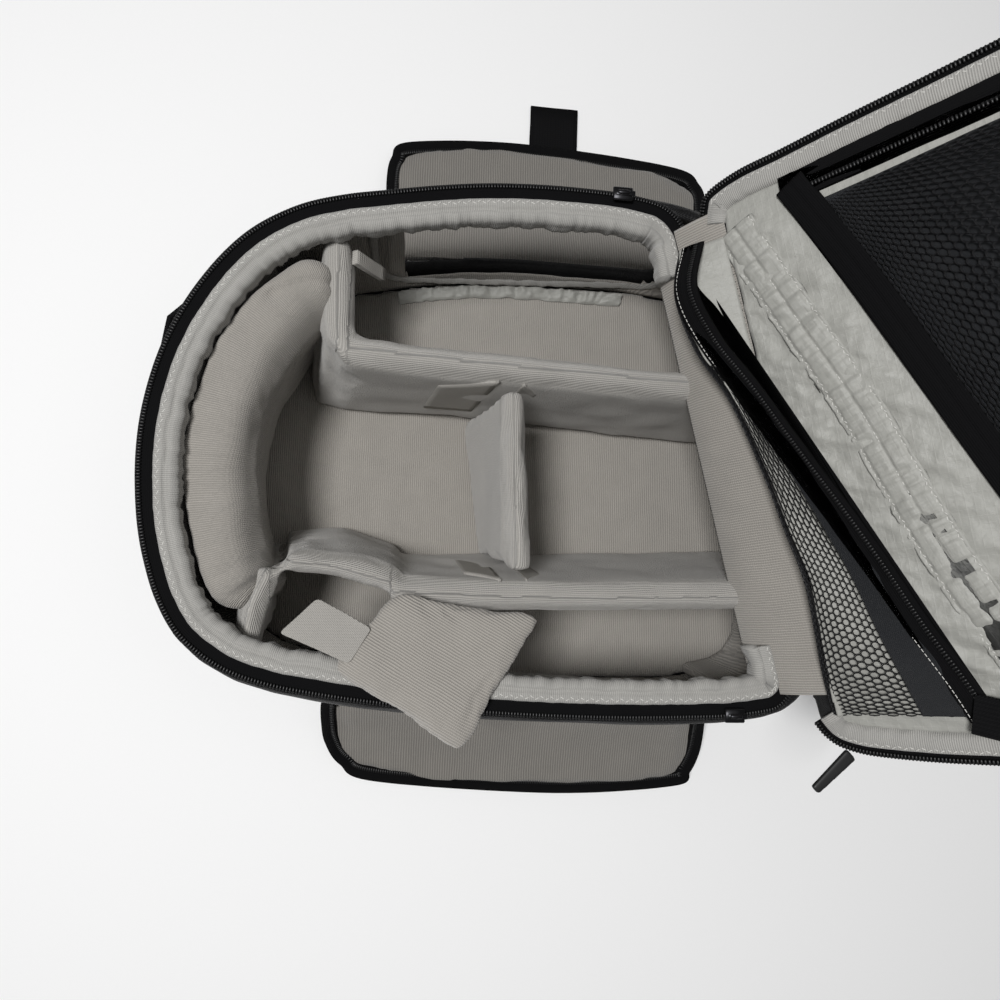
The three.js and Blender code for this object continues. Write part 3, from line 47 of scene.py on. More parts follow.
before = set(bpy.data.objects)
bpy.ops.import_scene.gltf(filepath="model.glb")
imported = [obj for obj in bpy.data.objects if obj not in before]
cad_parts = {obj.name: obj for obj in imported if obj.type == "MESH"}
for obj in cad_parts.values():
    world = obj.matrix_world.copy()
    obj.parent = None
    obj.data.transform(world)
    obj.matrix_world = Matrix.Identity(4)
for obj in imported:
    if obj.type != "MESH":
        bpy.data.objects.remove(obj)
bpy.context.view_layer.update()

MM = 0.001
UP = Vector((0, 0, 1))

# Middle of the tub's mouth in the frame, and the lid's hinge seen from it.
MOUTH_MIDDLE = Vector((-105.07, -26.38, 0)) * MM
RIM_TOP = 175 * MM
HINGE_LENGTH = 317 * MM
HINGE_SKEW = math.radians(14.6)
HINGE_REACH = 159 * MM
HINGE_RISE = 8.7 * MM
LID_ANGLE = math.radians(49.4)
LID_WIDTH = 343 * MM
LID_LENGTH = 378 * MM
LID_OVERHANG = 23.5 * MM
LID_FACE = -1.0 * MM

HINGE_WAY = Vector((-math.sin(HINGE_SKEW), math.cos(HINGE_SKEW), 0))
HINGE_OUT = Vector((HINGE_WAY.y, -HINGE_WAY.x, 0))
LID_OUT = HINGE_OUT * math.cos(LID_ANGLE) + UP * math.sin(LID_ANGLE)
LID_IN = -HINGE_WAY.cross(LID_OUT)
HINGE_NEAR = (
    MOUTH_MIDDLE
    + Vector((HINGE_REACH, 0, RIM_TOP + HINGE_RISE))
    - HINGE_WAY * HINGE_LENGTH / 2
)


def lerp(a, b, share):
    return a + (b - a) * share


def smooth(low, high, value):
    """0 below low, 1 above high, and a soft step between."""
    t = min(max((value - low) / (high - low), 0), 1)
    return t * t * (3 - 2 * t)


def lump(point, size, seed=0.0):
    """Smooth noise from -1 to 1 whose lumps are about size across."""
    return noise.noise(Vector(point) / size + Vector((seed, 2.7 * seed, 5.1 * seed)))


def to_lid(point):
    """A point's distance along the hinge, out from it and above the lid's face."""
    d = point - HINGE_NEAR
    return Vector((d.dot(HINGE_WAY), d.dot(LID_OUT), d.dot(LID_IN)))


def on_lid(u, v, w):
    return HINGE_NEAR + HINGE_WAY * u + LID_OUT * v + LID_IN * w


# Shaders.


class Wire:
    """A shader socket that adds its maths nodes as it is used in an expression."""

    def __init__(self, look, socket):
        self.look = look
        self.socket = socket

    def maths(self, operation, *values):
        return self.look.node("ShaderNodeMath", {"operation": operation}, values)

    def __add__(self, other):
        return self.maths("ADD", self, other)

    __radd__ = __add__

    def __sub__(self, other):
        return self.maths("SUBTRACT", self, other)

    def __rsub__(self, other):
        return self.maths("SUBTRACT", other, self)

    def __mul__(self, other):
        return self.maths("MULTIPLY", self, other)

    __rmul__ = __mul__

    def __truediv__(self, other):
        return self.maths("DIVIDE", self, other)

    def sine(self):
        return self.maths("SINE", self)

    def size(self):
        return self.maths("ABSOLUTE", self)

    def fraction(self):
        return self.maths("FRACT", self)

    def step(self, low, high):
        """0 below low, 1 above high, and a soft step between."""
        settings = {"interpolation_type": "SMOOTHSTEP"}
        return self.look.node("ShaderNodeMapRange", settings, {0: self, 1: low, 2: high})


class Look:
    """One procedural material, written as expressions on its cloth coordinates."""

    def __init__(self, name, rough=0.9, metal=0.0, sheen=0.0, coat=0.0, shine=0.5):
        self.material = bpy.data.materials.new(name)
        self.material.use_nodes = True
        self.tree = self.material.node_tree
        self.shader = self.tree.nodes["Principled BSDF"]
        self.set("Roughness", rough)
        self.set("Metallic", metal)
        self.set("Sheen Weight", sheen)
        self.set("Specular IOR Level", shine)
        self.set("Coat Weight", coat)

    def set(self, socket, value):
        if isinstance(value, Wire):
            self.tree.links.new(value.socket, self.shader.inputs[socket])
        else:
            self.shader.inputs[socket].default_value = value

    def node(self, kind, settings, values, output=0):
        made = self.tree.nodes.new(kind)
        for key, value in settings.items():
            setattr(made, key, value)
        pairs = values.items() if isinstance(values, dict) else enumerate(values)
        for key, value in pairs:
            if isinstance(value, Wire):
                self.tree.links.new(value.socket, made.inputs[key])
            else:
                made.inputs[key].default_value = value
        return Wire(self, made.outputs[output])

    def cloth(self):
        """The cloth coordinates kept on each piece: along, across and depth, in metres."""
        vector = self.node("ShaderNodeAttribute", {"attribute_name": "grain"}, {}, "Vector")
        return vector, *self.parts(vector)

    def parts(self, vector):
        split = self.node("ShaderNodeSeparateXYZ", {}, [vector])
        outputs = split.socket.node.outputs
        return [Wire(self, outputs[i]) for i in range(3)]

    def place(self):
        return self.node("ShaderNodeTexCoord", {}, {}, "Object")

    def noise(self, vector, scale, detail=2.0):
        return self.node(
            "ShaderNodeTexNoise", {}, {"Vector": vector, "Scale": scale, "Detail": detail}
        )

    def shade(self, colour, factor):
        """A colour made lighter or darker by a value around 1."""
        grey = self.node("ShaderNodeCombineXYZ", {}, [factor, factor, factor])
        settings = {"operation": "MULTIPLY"}
        return self.node("ShaderNodeVectorMath", settings, [tuple(colour)[:3], grey])

    def bump(self, height, depth, strength=1.0):
        """Raises the surface by height times depth, in metres."""
        values = {"Height": height, "Distance": depth, "Strength": strength}
        normal = self.node("ShaderNodeBump", {}, values)
        self.tree.links.new(normal.socket, self.shader.inputs["Normal"])


TURN = 2 * math.pi


def ribbed_knit(name, colour, pitch, pile_from=None, depth=0.5, rib_shade=0.16):
    """Ribbed velour knit, its rib valleys painted darker as painted shade; deeper than pile_from it
    turns to brushed loop pile.
    """
    look = Look(name, rough=0.95, sheen=0.25)
    place = look.place()
    vector, along, across, deep = look.cloth()
    sway = (look.noise(vector, 60.0, 1.0) - 0.5) * 0.0012
    rib = ((along + sway) * (TURN / pitch)).sine()
    loops = (across * (TURN / (pitch * 0.8)) + (along * (math.pi / pitch)).sine()).sine()
    fuzz = look.noise(place, 2600.0, 3.0)
    mottle = look.noise(place, 55.0, 2.0)
    knit = rib * 0.5 + loops * 0.12 + (fuzz - 0.5) * 0.5
    # The rib valleys are painted darker than the crests: painted shade. The fuzz varies the tone at
    # random.
    tone = 1 + (rib - 0.3) * rib_shade + (fuzz - 0.5) * 0.35
    if pile_from is not None:
        mask = deep.step(pile_from, pile_from + 4 * MM)
        wool = look.noise(place, 900.0, 4.0)
        pile = (wool - 0.5) * 1.5 + (fuzz - 0.5) * 0.6
        knit = knit * (1 - mask) + pile * mask
        tone = tone * (1 - mask) + (1 + (wool - 0.5) * 0.45 + (fuzz - 0.5) * 0.2) * mask
    tone = tone * (1 + (mottle - 0.5) * 0.14)
    look.set("Base Color", look.shade(colour, tone))
    look.bump(knit, depth * MM, 0.9)
    return look.material


def twill_tape(name, colour, pitch, rough=0.85, depth=0.3, sheen=0.0):
    """Tight woven tape with ribs along it and a fine slant."""
    look = Look(name, rough=rough, sheen=sheen, shine=0.1)
    vector, along, across, _ = look.cloth()
    slant = ((along + across) * (TURN / pitch)).sine()
    rib = (across * (TURN / (pitch * 1.4))).sine()
    fuzz = look.noise(look.place(), 3000.0, 2.0)
    patch = look.noise(vector, 40.0, 2.0)
    height = slant * 0.5 + rib * 0.5 + (fuzz - 0.5) * 0.6
    tone = 1 + slant * 0.12 + (fuzz - 0.5) * 0.3 + (patch - 0.5) * 0.2
    look.set("Base Color", look.shade(colour, tone))
    look.bump(height, depth * MM, 0.8)
    return look.material


def woven_nylon(name, colour, pitch, rough=0.6, depth=0.3, sheen=0.0):
    """Basket-woven nylon of thick threads."""
    look = Look(name, rough=rough, sheen=sheen, shine=0.35)
    _, along, across, _ = look.cloth()
    weft = (along * (TURN / pitch)).sine()
    warp = (across * (TURN / pitch)).sine()
    over = weft * warp
    fuzz = look.noise(look.place(), 2400.0, 2.0)
    patch = look.noise(look.place(), 18.0, 3.0)
    height = over * 0.7 + weft * 0.15 + (fuzz - 0.5) * 0.4
    tone = 1 + over * 0.22 + (patch - 0.5) * 0.35
    look.set("Base Color", look.shade(colour, tone))
    look.set("Roughness", rough + (patch - 0.5) * 0.2 - over * 0.06)
    look.bump(height, depth * MM, 0.8)
    return look.material


def ripstop(name, colour, pitch):
    """Thin crinkled nylon with a fine reinforcing grid."""
    look = Look(name, rough=0.5, sheen=0.2)
    vector, along, across, _ = look.cloth()
    lines = [((axis / pitch).fraction() - 0.5).size().step(0.42, 0.48) for axis in (along, across)]
    grid = lines[0] + lines[1]
    weave = ((along * (TURN / 0.0009)).sine()) * ((across * (TURN / 0.0009)).sine())
    crinkle = look.noise(vector, 130.0, 5.0)
    soft = look.noise(vector, 38.0, 3.0)
    tone = 1 + grid * 0.05 + weave * 0.04 + (soft - 0.5) * 0.12
    look.set("Base Color", look.shade(colour, tone))
    look.set("Roughness", 0.52 + (soft - 0.5) * 0.2)
    look.bump((crinkle - 0.5) * 1.6 + grid * 0.06 + weave * 0.03, 1.3 * MM, 0.7)
    return look.material


def plain_finish(name, colour, rough, metal=0.0, coat=0.0, grain=900.0, depth=0.05):
    """Moulded, painted or spun things with a fine uneven grain."""
    look = Look(name, rough=rough, metal=metal, coat=coat)
    place = look.place()
    fine = look.noise(place, grain, 3.0)
    wear = look.noise(place, 60.0, 4.0)
    look.set("Base Color", look.shade(colour, 1 + (fine - 0.5) * 0.3))
    look.set("Roughness", rough + (wear - 0.5) * 0.25)
    look.bump(fine, depth * MM, 0.6)
    return look.material


def air_mesh(name, colour, pitch):
    """Thick spacer mesh with small round holes, the holes painted darker as painted shade."""
    look = Look(name, rough=0.85, sheen=0.2)
    vector = look.cloth()[0]
    cells = look.node(
        "ShaderNodeTexVoronoi", {"feature": "F1"}, {"Vector": vector, "Scale": 1 / pitch}
    )
    hole = 1 - cells.step(0.18, 0.42)
    # The holes are painted darker than the mesh round them: painted shade in the holes.
    look.set("Base Color", look.shade(colour, 1 - hole * 0.75))
    look.bump(1 - hole, 1.2 * MM, 0.9)
    return look.material


# Lines and shapes.


class Path:
    """A smooth line through points, read by a share of its length."""

    def __init__(self, points, closed=False, cuts=10):
        ends = [points[-1], *points, points[0], points[1]] if closed else points
        if not closed:
            first = points[0] * 2 - points[1]
            last = points[-1] * 2 - points[-2]
            ends = [first, *points, last]
        self.closed = closed
        self.dots = []
        for a, b, c, d in zip(ends, ends[1:], ends[2:], ends[3:]):
            for i in range(cuts):
                t = i / cuts
                bend = (
                    b * 2
                    + (c - a) * t
                    + (a * 2 - b * 5 + c * 4 - d) * t * t
                    + (b * 3 - a - c * 3 + d) * t * t * t
                )
                self.dots.append(bend / 2)
        self.dots.append(points[0].copy() if closed else points[-1].copy())
        self.runs = [0.0]
        for a, b in zip(self.dots, self.dots[1:]):
            self.runs.append(self.runs[-1] + (b - a).length)
        self.length = self.runs[-1]

    def point(self, share):
        run = min(max(share, 0), 1) * self.length
        k = min(max(bisect.bisect_right(self.runs, run), 1), len(self.runs) - 1)
        t = (run - self.runs[k - 1]) / max(self.runs[k] - self.runs[k - 1], 1e-9)
        return self.dots[k - 1].lerp(self.dots[k], t)

    def at(self, share):
        """The point at a share and the line's direction there."""
        reach = 2 * MM / self.length
        if self.closed:
            before, after = self.point((share - reach) % 1), self.point((share + reach) % 1)
        else:
            before, after = self.point(share - reach), self.point(share + reach)
        return self.point(share), (after - before).normalized()

    def finder(self):
        """A search tree over the line's dots."""
        tree = KDTree(len(self.dots))
        for i, dot in enumerate(self.dots):
            tree.insert(dot, i)
        tree.balance()
        return tree


def stations(points, key, gap):
    """The middles of groups of points that lie within gap along a sorted key."""
    groups = []
    for p in sorted(points, key=key):
        if groups and min((p - q).length for q in groups[-1]) < gap:
            groups[-1].append(p)
        else:
            groups.append([p])
    return [sum(g, Vector()) / len(g) for g in groups]


def chunks(points, key, count):
    """Points in the order of a key, in groups of count."""
    ranked = sorted(points, key=key)
    return [ranked[i : i + count] for i in range(0, len(ranked), count)]


def middle_of(points):
    return sum(points, Vector()) / len(points)


def node_copy(*names):
    """A merged copy of CAD nodes."""
    bm = bmesh.new()
    for name in names:
        bm.from_mesh(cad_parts[name].data)
    bmesh.ops.remove_doubles(bm, verts=bm.verts[:], dist=0.01 * MM)
    bm.normal_update()
    return bm


def corners_of(node):
    """A CAD solid's corners, without the middles of its flat ends."""
    bm = node_copy(node)
    points = []
    for v in bm.verts:
        first = v.link_faces[0].normal
        if any(f.normal.dot(first) < 0.95 for f in v.link_faces):
            points.append(v.co.copy())
    bm.free()
    return points


# Where the rim turns in at the hinge corners, in mm: at the far one, then the near.
RIM_TURNS = (
    [(21.5, 86, 0), (19, 98, 0), (15.5, 110, 0), (9.5, 119, 0), (1.5, 125, 0)],
    [(80, -175.5, 0), (86, -169, 0), (87.5, -160, 0), (84.5, -148, 0), (81.5, -137, 0)],
)


def rim_line():
    """The tub's zip line, round the mouth from the far hinge corner to the near one."""
    points = corners_of("rim_zip")
    origin = Vector((0, 0, RIM_TOP))
    top = max(p.z for p in points)
    crest = [p for p in points if p.z > top - 0.2 * MM]

    def angle(p):
        d = p - MOUTH_MIDDLE
        return math.atan2(d.y, d.x) % TURN

    ways = [[origin + Vector(p) * MM for p in turn] for turn in RIM_TURNS]
    return Path([*ways[0], *stations(crest, angle, 5 * MM), *ways[1]])


def lid_line():
    """The lid's zip line, round the lid from hinge corner to hinge corner."""
    points = [to_lid(p) for p in corners_of("lid_zip")]
    top = max(p.z for p in points)
    crest = [p for p in points if p.z > top - 0.2 * MM]
    middle = Vector((LID_WIDTH / 2 - LID_OVERHANG, LID_LENGTH / 2, 0))

    def angle(p):
        return math.atan2(p.x - middle.x, p.y - middle.y)

    return Path([on_lid(*p) for p in stations(crest, angle, 4.5 * MM)])


RIM = rim_line()
RIM_FINDER = RIM.finder()
LID = lid_line()


def rim_run(point):
    """How far along the rim a point lies."""
    flat = Vector((point.x, point.y, RIM_TOP))
    near, k, _ = RIM_FINDER.find(flat)
    a, b = RIM.dots[max(k - 1, 0)], RIM.dots[min(k + 1, len(RIM.dots) - 1)]
    return RIM.runs[k] + (flat - near).dot((b - a).normalized())


def wall_grain(point):
    return (rim_run(point), point.z, 0.0)


def flat_grain(angle):
    """Cloth coordinates for a lying pad whose ribs run along an angle."""
    turn = Matrix.Rotation(-angle, 3, "Z")

    def grain(point):
        p = turn @ point
        return (p.y, p.x, 0.0)

    return grain


def swept(path, up, rows, columns, section, closed=False, capped=True, span=(0, 1)):
    """A band along a path. Section gives the way out and up at t across and a run along."""
    bm = bmesh.new()
    grain = bm.verts.layers.float_vector.new("grain")
    bmesh.ops.create_grid(bm, x_segments=rows, y_segments=columns, size=0.5)
    middle = path.length * (span[0] + span[1]) / 2
    marks = [Vector(section(i / columns, middle)) for i in range(columns + 1)]
    girth = [0.0]
    for a, b in zip(marks, marks[1:]):
        girth.append(girth[-1] + (b - a).length)
    for v in bm.verts:
        share, t = lerp(*span, v.co.x + 0.5), v.co.y + 0.5
        here, along = path.at(share)
        aside = along.cross(up).normalized()
        out, rise = section(t, share * path.length)
        v.co = here + aside * out + up * rise
        v[grain] = (share * path.length, girth[round(t * columns)], 0.0)
    bmesh.ops.remove_doubles(bm, verts=bm.verts[:], dist=0.005 * MM)
    if closed and capped and not path.closed:
        bmesh.ops.holes_fill(bm, edges=[e for e in bm.edges if e.is_boundary], sides=0)
    bmesh.ops.recalc_face_normals(bm, faces=bm.faces[:])
    return bm


def outline(points):
    """A closed section through corner points, read by a share of its length."""
    flat = Path([Vector((x, y, 0)) * MM for x, y in points], closed=True, cuts=6)

    def section(t):
        p = flat.point(t)
        return p.x, p.y

    return section


def spread(bm, grain):
    """Writes cloth coordinates onto a mesh."""
    layer = bm.verts.layers.float_vector.get("grain")
    layer = layer or bm.verts.layers.float_vector.new("grain")
    for v in bm.verts:
        v[layer] = grain(v.co)


def add_piece(name, bm, material, nodes=(), slot=None, flat=False):
    """Makes a mesh a piece of the backpack in place of CAD nodes."""
    mesh = bpy.data.meshes.new(name)
    bm.to_mesh(mesh)
    bm.free()
    piece = bpy.data.objects.new(name, mesh)
    bpy.context.scene.collection.objects.link(piece)
    mesh.materials.append(material)
    mesh.polygons.foreach_set("use_smooth", [not flat] * len(mesh.polygons))
    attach(piece, "root")
    if nodes:
        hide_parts(*nodes)
    return piece


def settled(piece):
    """Applies a piece's modifiers to its mesh and gives that as a bmesh."""
    graph = bpy.context.evaluated_depsgraph_get()
    graph.update()
    mesh = bpy.data.meshes.new_from_object(piece.evaluated_get(graph))
    bm = bmesh.new()
    bm.from_mesh(mesh)
    bpy.data.meshes.remove(mesh)
    return bm


def baked(piece):
    """Keeps what a piece's modifiers make as its own mesh."""
    solid = settled(piece)
    piece.modifiers.clear()
    solid.to_mesh(piece.data)
    solid.free()


def remeshed(bm, voxel, rounds=4):
    """A shape in even small faces, with its edges rounded off."""
    mesh = bpy.data.meshes.new("blank")
    bm.to_mesh(mesh)
    bm.free()
    blank = bpy.data.objects.new("blank", mesh)
    bpy.context.scene.collection.objects.link(blank)
    cut = blank.modifiers.new("Even faces", "REMESH")
    cut.mode = "VOXEL"
    cut.voxel_size = voxel
    even = settled(blank)
    bpy.data.objects.remove(blank)
    bpy.data.meshes.remove(mesh)
    for _ in range(rounds):
        bmesh.ops.smooth_vert(
            even, verts=even.verts[:], factor=0.5, use_axis_x=True, use_axis_y=True, use_axis_z=True
        )
    return even


def slimmed(bm, by):
    """A shape drawn in along its normals."""
    bm.normal_update()
    moves = [(v, v.normal * by) for v in bm.verts]
    for v, move in moves:
        v.co -= move
    return bm


def swell(bm, pressure, cap):
    """Blows a pad up as cloth under pressure, no point moving further than cap."""
    before = [v.co.copy() for v in bm.verts]
    mesh = bpy.data.meshes.new("blank")
    bm.to_mesh(mesh)
    bm.free()
    blank = bpy.data.objects.new("blank", mesh)
    bpy.context.scene.collection.objects.link(blank)
    cloth = blank.modifiers.new("Swell", "CLOTH")
    cloth.settings.quality = 4
    cloth.settings.mass = 0.3
    cloth.settings.use_pressure = True
    cloth.settings.uniform_pressure_force = pressure
    cloth.settings.effector_weights.gravity = 0
    cloth.collision_settings.use_collision = False
    cloth.point_cache.frame_start = 1
    cloth.point_cache.frame_end = SWELL_FRAMES
    for moment in range(1, SWELL_FRAMES + 1):
        bpy.context.scene.frame_set(moment)
    full = settled(blank)
    bpy.context.scene.frame_set(1)
    bpy.data.objects.remove(blank)
    bpy.data.meshes.remove(mesh)
    for v, start in zip(full.verts, before):
        move = v.co - start
        if move.length > cap:
            v.co = start + move.normalized() * cap
    return full


SWELL_FRAMES = 20


def finer(bm, cuts=1):
    """Halves every face and rounds the shape."""
    bmesh.ops.subdivide_edges(bm, edges=bm.edges[:], cuts=cuts, use_grid_fill=True, smooth=0)
    bmesh.ops.smooth_vert(
        bm, verts=bm.verts[:], factor=0.5, use_axis_x=True, use_axis_y=True, use_axis_z=True
    )
    return bm


def press(bm, line, width, depth):
    """Presses a soft groove along a path into a mesh, as a row of stitches pulls it in."""
    tree = line.finder()
    bm.normal_update()
    moves = []
    for v in bm.verts:
        _, _, far = tree.find(v.co)
        if far < 3 * width:
            moves.append((v, v.normal * depth * math.exp(-((far / width) ** 2))))
    for v, move in moves:
        v.co -= move


def crumple(bm, size, depth, seed=0.0, floor=None):
    """Uneven lumps over a soft surface."""
    bm.normal_update()
    moves = [(v, v.normal * depth * lump(v.co, size, seed)) for v in bm.verts]
    for v, move in moves:
        v.co += move
        if floor is not None and v.co.z < floor:
            v.co.z = floor
    return bm


def stretched(node, reach):
    """A copy of a CAD node, its ends moved by (axis, low end, high end) in mm."""
    bm = node_copy(node)
    for axis, low_by, high_by in reach:
        low = min(v.co[axis] for v in bm.verts)
        high = max(v.co[axis] for v in bm.verts)
        for v in bm.verts:
            v.co[axis] += lerp(low_by, high_by, (v.co[axis] - low) / (high - low)) * MM
    return bm


def joined(parts):
    """Several meshes as one."""
    bm = bmesh.new()
    for part in parts:
        mesh = bpy.data.meshes.new("part")
        part.to_mesh(mesh)
        part.free()
        bm.from_mesh(mesh)
        bpy.data.meshes.remove(mesh)
    return bm


def pad(name, nodes, material, slot, grain, voxel=4, slim=1.0, cap=2.4, rounds=4,
        lumps=0.6, seed=1.0, fine=True, pressure=4.0, work=None, shape=None):
    """A padded piece in place of its CAD solids."""
    nodes = (nodes,) if isinstance(nodes, str) else nodes
    shape = shape or node_copy(*nodes)
    bm = slimmed(remeshed(shape, voxel * MM, rounds), slim * MM)
    floor = min(v.co.z for v in bm.verts) - 0.5 * slim * MM
    bm = swell(bm, pressure, cap * MM)
    if fine:
        bm = finer(bm)
    crumple(bm, 26 * MM, lumps * MM, seed, floor)
    if work:
        work(bm)
    spread(bm, grain)
    piece = add_piece(name, bm, material, nodes, slot)
    return piece


def thin_copy(name, node, material, slot, grain, cuts=8, ripple=0.6, size=18, seed=1.0, nodes=None):
    """A thin flap in place of its CAD solid, finely divided and rippled as a whole."""
    bm = node_copy(node)
    bmesh.ops.subdivide_edges(bm, edges=bm.edges[:], cuts=cuts, use_grid_fill=True)
    for v in bm.verts:
        shift = Vector([lump(v.co, size * MM, seed + k) for k in range(3)])
        v.co += shift * ripple * MM
    bmesh.ops.recalc_face_normals(bm, faces=bm.faces[:])
    spread(bm, grain)
    return add_piece(name, bm, material, nodes or (node,), slot)


def cloth_sheet(piece):
    """Measures a thin piece's area and length, and keeps nothing of it."""
    bm = bmesh.new()
    bm.from_mesh(piece.data)
    surface = sum(f.calc_area() for f in bm.faces)
    edge = sum(e.calc_length() for e in bm.edges if e.is_boundary)
    bm.free()
    area = surface if edge > 0.1 else surface / 2
    size = sorted((Vector(piece.bound_box[6]) - Vector(piece.bound_box[0])))
    length = max(size[2], math.sqrt(area))
    area / length


def repeated(shape, spots):
    """Copies of a small mesh at each placing matrix, as one mesh."""
    small = bpy.data.meshes.new("small")
    shape.to_mesh(small)
    shape.free()
    bm = bmesh.new()
    for spot in spots:
        start = len(bm.verts)
        bm.from_mesh(small)
        bm.verts.ensure_lookup_table()
        bmesh.ops.transform(bm, matrix=spot, verts=bm.verts[start:])
    bpy.data.meshes.remove(small)
    return bm


def placing(here, x, y, z):
    """The matrix that sets a small shape at a point with its three axes."""
    turned = Matrix((x, y, z)).transposed().to_4x4()
    turned.translation = here
    return turned


def bead(length, width, height, bevel=0.3):
    """A small rounded block: a tooth or a stitch."""
    bm = bmesh.new()
    bmesh.ops.create_cube(bm, size=1)
    bmesh.ops.scale(bm, vec=(length, width, height), verts=bm.verts[:])
    bmesh.ops.bevel(
        bm, geom=bm.edges[:], offset=bevel * min(length, width, height), segments=1,
        profile=0.5, affect="EDGES", material=-1,
    )
    return bm


def row_of(shape, path, up, pitch, out, rise, span=(0, 1), sway=0.0, turn=0.0):
    """Copies of a shape along a path, offset sideways and up, each turned a little."""
    count = max(int(path.length * (span[1] - span[0]) / pitch), 1)
    spots = []
    for i in range(count):
        here, along = path.at(lerp(*span, (i + 0.5) / count))
        aside = along.cross(up).normalized()
        flip = 1 if i % 2 else -1
        tilt = Matrix.Rotation(turn * flip, 3, up)
        spot = here + aside * (out + sway * flip) + up * rise
        spots.append(placing(spot, tilt @ along, tilt @ aside, up))
    return repeated(shape, spots)


# Settings that a user may change.


class BackpackCloth(bpy.types.PropertyGroup):
    """Colours and ribs of the cloth."""

    knit: bpy.props.FloatVectorProperty(
        name="Knit", description="Grey velour knit", subtype="COLOR", size=3,
        default=(0.35, 0.328, 0.297),
    )
    pile: bpy.props.FloatVectorProperty(
        name="Loop pile", description="Brushed grey loop of the dividers", subtype="COLOR",
        size=3, default=(0.37, 0.355, 0.33),
    )
    binding: bpy.props.FloatVectorProperty(
        name="Binding", description="Light ribbed binding", subtype="COLOR", size=3,
        default=(0.36, 0.352, 0.332),
    )
    nylon: bpy.props.FloatVectorProperty(
        name="Ripstop", description="Thin grey nylon of the lid", subtype="COLOR", size=3,
        default=(0.325, 0.323, 0.298),
    )
    black: bpy.props.FloatVectorProperty(
        name="Black", description="Black nylon outside", subtype="COLOR", size=3,
        default=(0.0045, 0.0045, 0.005),
    )
    rib: bpy.props.FloatProperty(
        name="Rib pitch", description="Distance between ribs of the knit", unit="LENGTH",
        default=0.0015,
    )


class BackpackZips(bpy.types.PropertyGroup):
    """Sizes of the zips and the gathered binding."""

    tooth: bpy.props.FloatProperty(
        name="Tooth pitch", description="Distance between the coil's teeth", unit="LENGTH",
        default=0.0018,
    )
    gather: bpy.props.FloatProperty(
        name="Gather depth", description="How far the binding puckers", unit="LENGTH",
        default=0.0009,
    )


class BackpackStudio(bpy.types.PropertyGroup):
    """The studio's light."""

    lamp: bpy.props.FloatProperty(
        name="Soft light", description="Power of the large soft lamp", unit="POWER", default=27.0
    )
    room: bpy.props.FloatProperty(
        name="Room light", description="Strength of the light from all round", default=0.15
    )


LOOKS = {}

# The side doors' linings are painted darker than the inside knit: painted shade, as the flaps lie
# lower and in shadow.
FLAP_PAINTED_SHADE = 0.62


class BACKPACK_OT_cloths(bpy.types.Operator):
    """Mixes the cloth, tape, net and metal finishes"""

    bl_idname = "backpack.cloths"
    bl_label = "Cloths"

    def execute(self, context):
        cloth = context.scene.backpack_cloth
        rib = cloth.rib
        LOOKS["knit"] = ribbed_knit("knit_velour", cloth.knit, rib)
        # The flaps' knit is the inside knit made darker: painted shade.
        flap_painted_shade_colour = tuple(value * FLAP_PAINTED_SHADE for value in cloth.knit)
        LOOKS["flap"] = ribbed_knit("flap_knit_painted_shade", flap_painted_shade_colour, rib * 1.25, rib_shade=0.2)
        LOOKS["divider"] = ribbed_knit("divider_loop", cloth.pile, rib * 1.15, pile_from=9 * MM)
        LOOKS["binding"] = ribbed_knit("binding_knit", cloth.binding, rib * 0.75, depth=0.25)
        LOOKS["hook"] = twill_tape("hook_tape_weave", cloth.pile, 0.0012)
        LOOKS["ripstop"] = ripstop("lid_ripstop", cloth.nylon, 0.004)
        LOOKS["nylon"] = woven_nylon("black_pack_nylon", cloth.black, 0.0011)
        LOOKS["tape"] = twill_tape("black_zip_tape", cloth.black, 0.0008, rough=0.8)
        LOOKS["webbing"] = twill_tape("black_webbing_weave", cloth.black, 0.0016, rough=0.75)
        LOOKS["coil"] = plain_finish("zip_coil_nylon", (0.005, 0.005, 0.0055), 0.42)
        LOOKS["net"] = plain_finish("knitted_net", (0.006, 0.006, 0.007), 0.6, grain=2400.0)
        LOOKS["metal"] = plain_finish("slider_black", (0.02, 0.02, 0.022), 0.32, metal=0.8)
        LOOKS["rubber"] = plain_finish("pull_rubber_black", (0.01, 0.01, 0.01), 0.5)
        LOOKS["thread"] = plain_finish("grey_thread", (0.6, 0.59, 0.56), 0.8, grain=4000.0)
        LOOKS["dark_thread"] = plain_finish("black_thread", (0.03, 0.03, 0.032), 0.7)
        LOOKS["dark_cloth"] = woven_nylon("dark_pocket_nylon", (0.012, 0.013, 0.015), 0.0009,
                                          rough=0.45)
        LOOKS["mesh"] = air_mesh("back_air_mesh", cloth.black, 0.0042)
        return {"FINISHED"}


class DividerLine:
    """A divider's middle line, read from its CAD solid."""

    SECTION = 6

    def __init__(self, node, axis):
        points = corners_of(node)
        self.axis = axis
        self.rows = []
        for group in chunks(points, lambda p: p[axis], self.SECTION):
            ranked = sorted(group, key=lambda p: p.z)
            self.rows.append((middle_of(ranked[:2]), middle_of(ranked[-2:])))
        self.foot = min(p.z for p in points)
        self.top = max(p.z for p in points)

    def grain(self, point):
        share = (point.z - self.foot) / (self.top - self.foot)
        line = [foot.lerp(top, share) for foot, top in self.rows]
        k = 1
        while k < len(line) - 1 and line[k][self.axis] < point[self.axis]:
            k += 1
        a, b = line[k - 1], line[k]
        way = Vector((b.x - a.x, b.y - a.y, 0)).normalized()
        d = Vector((point.x - a.x, point.y - a.y, 0))
        side = d.x * way.y - d.y * way.x
        deep = self.top - point.z
        return (side + math.copysign(max(deep, 0), side), point[self.axis], deep)


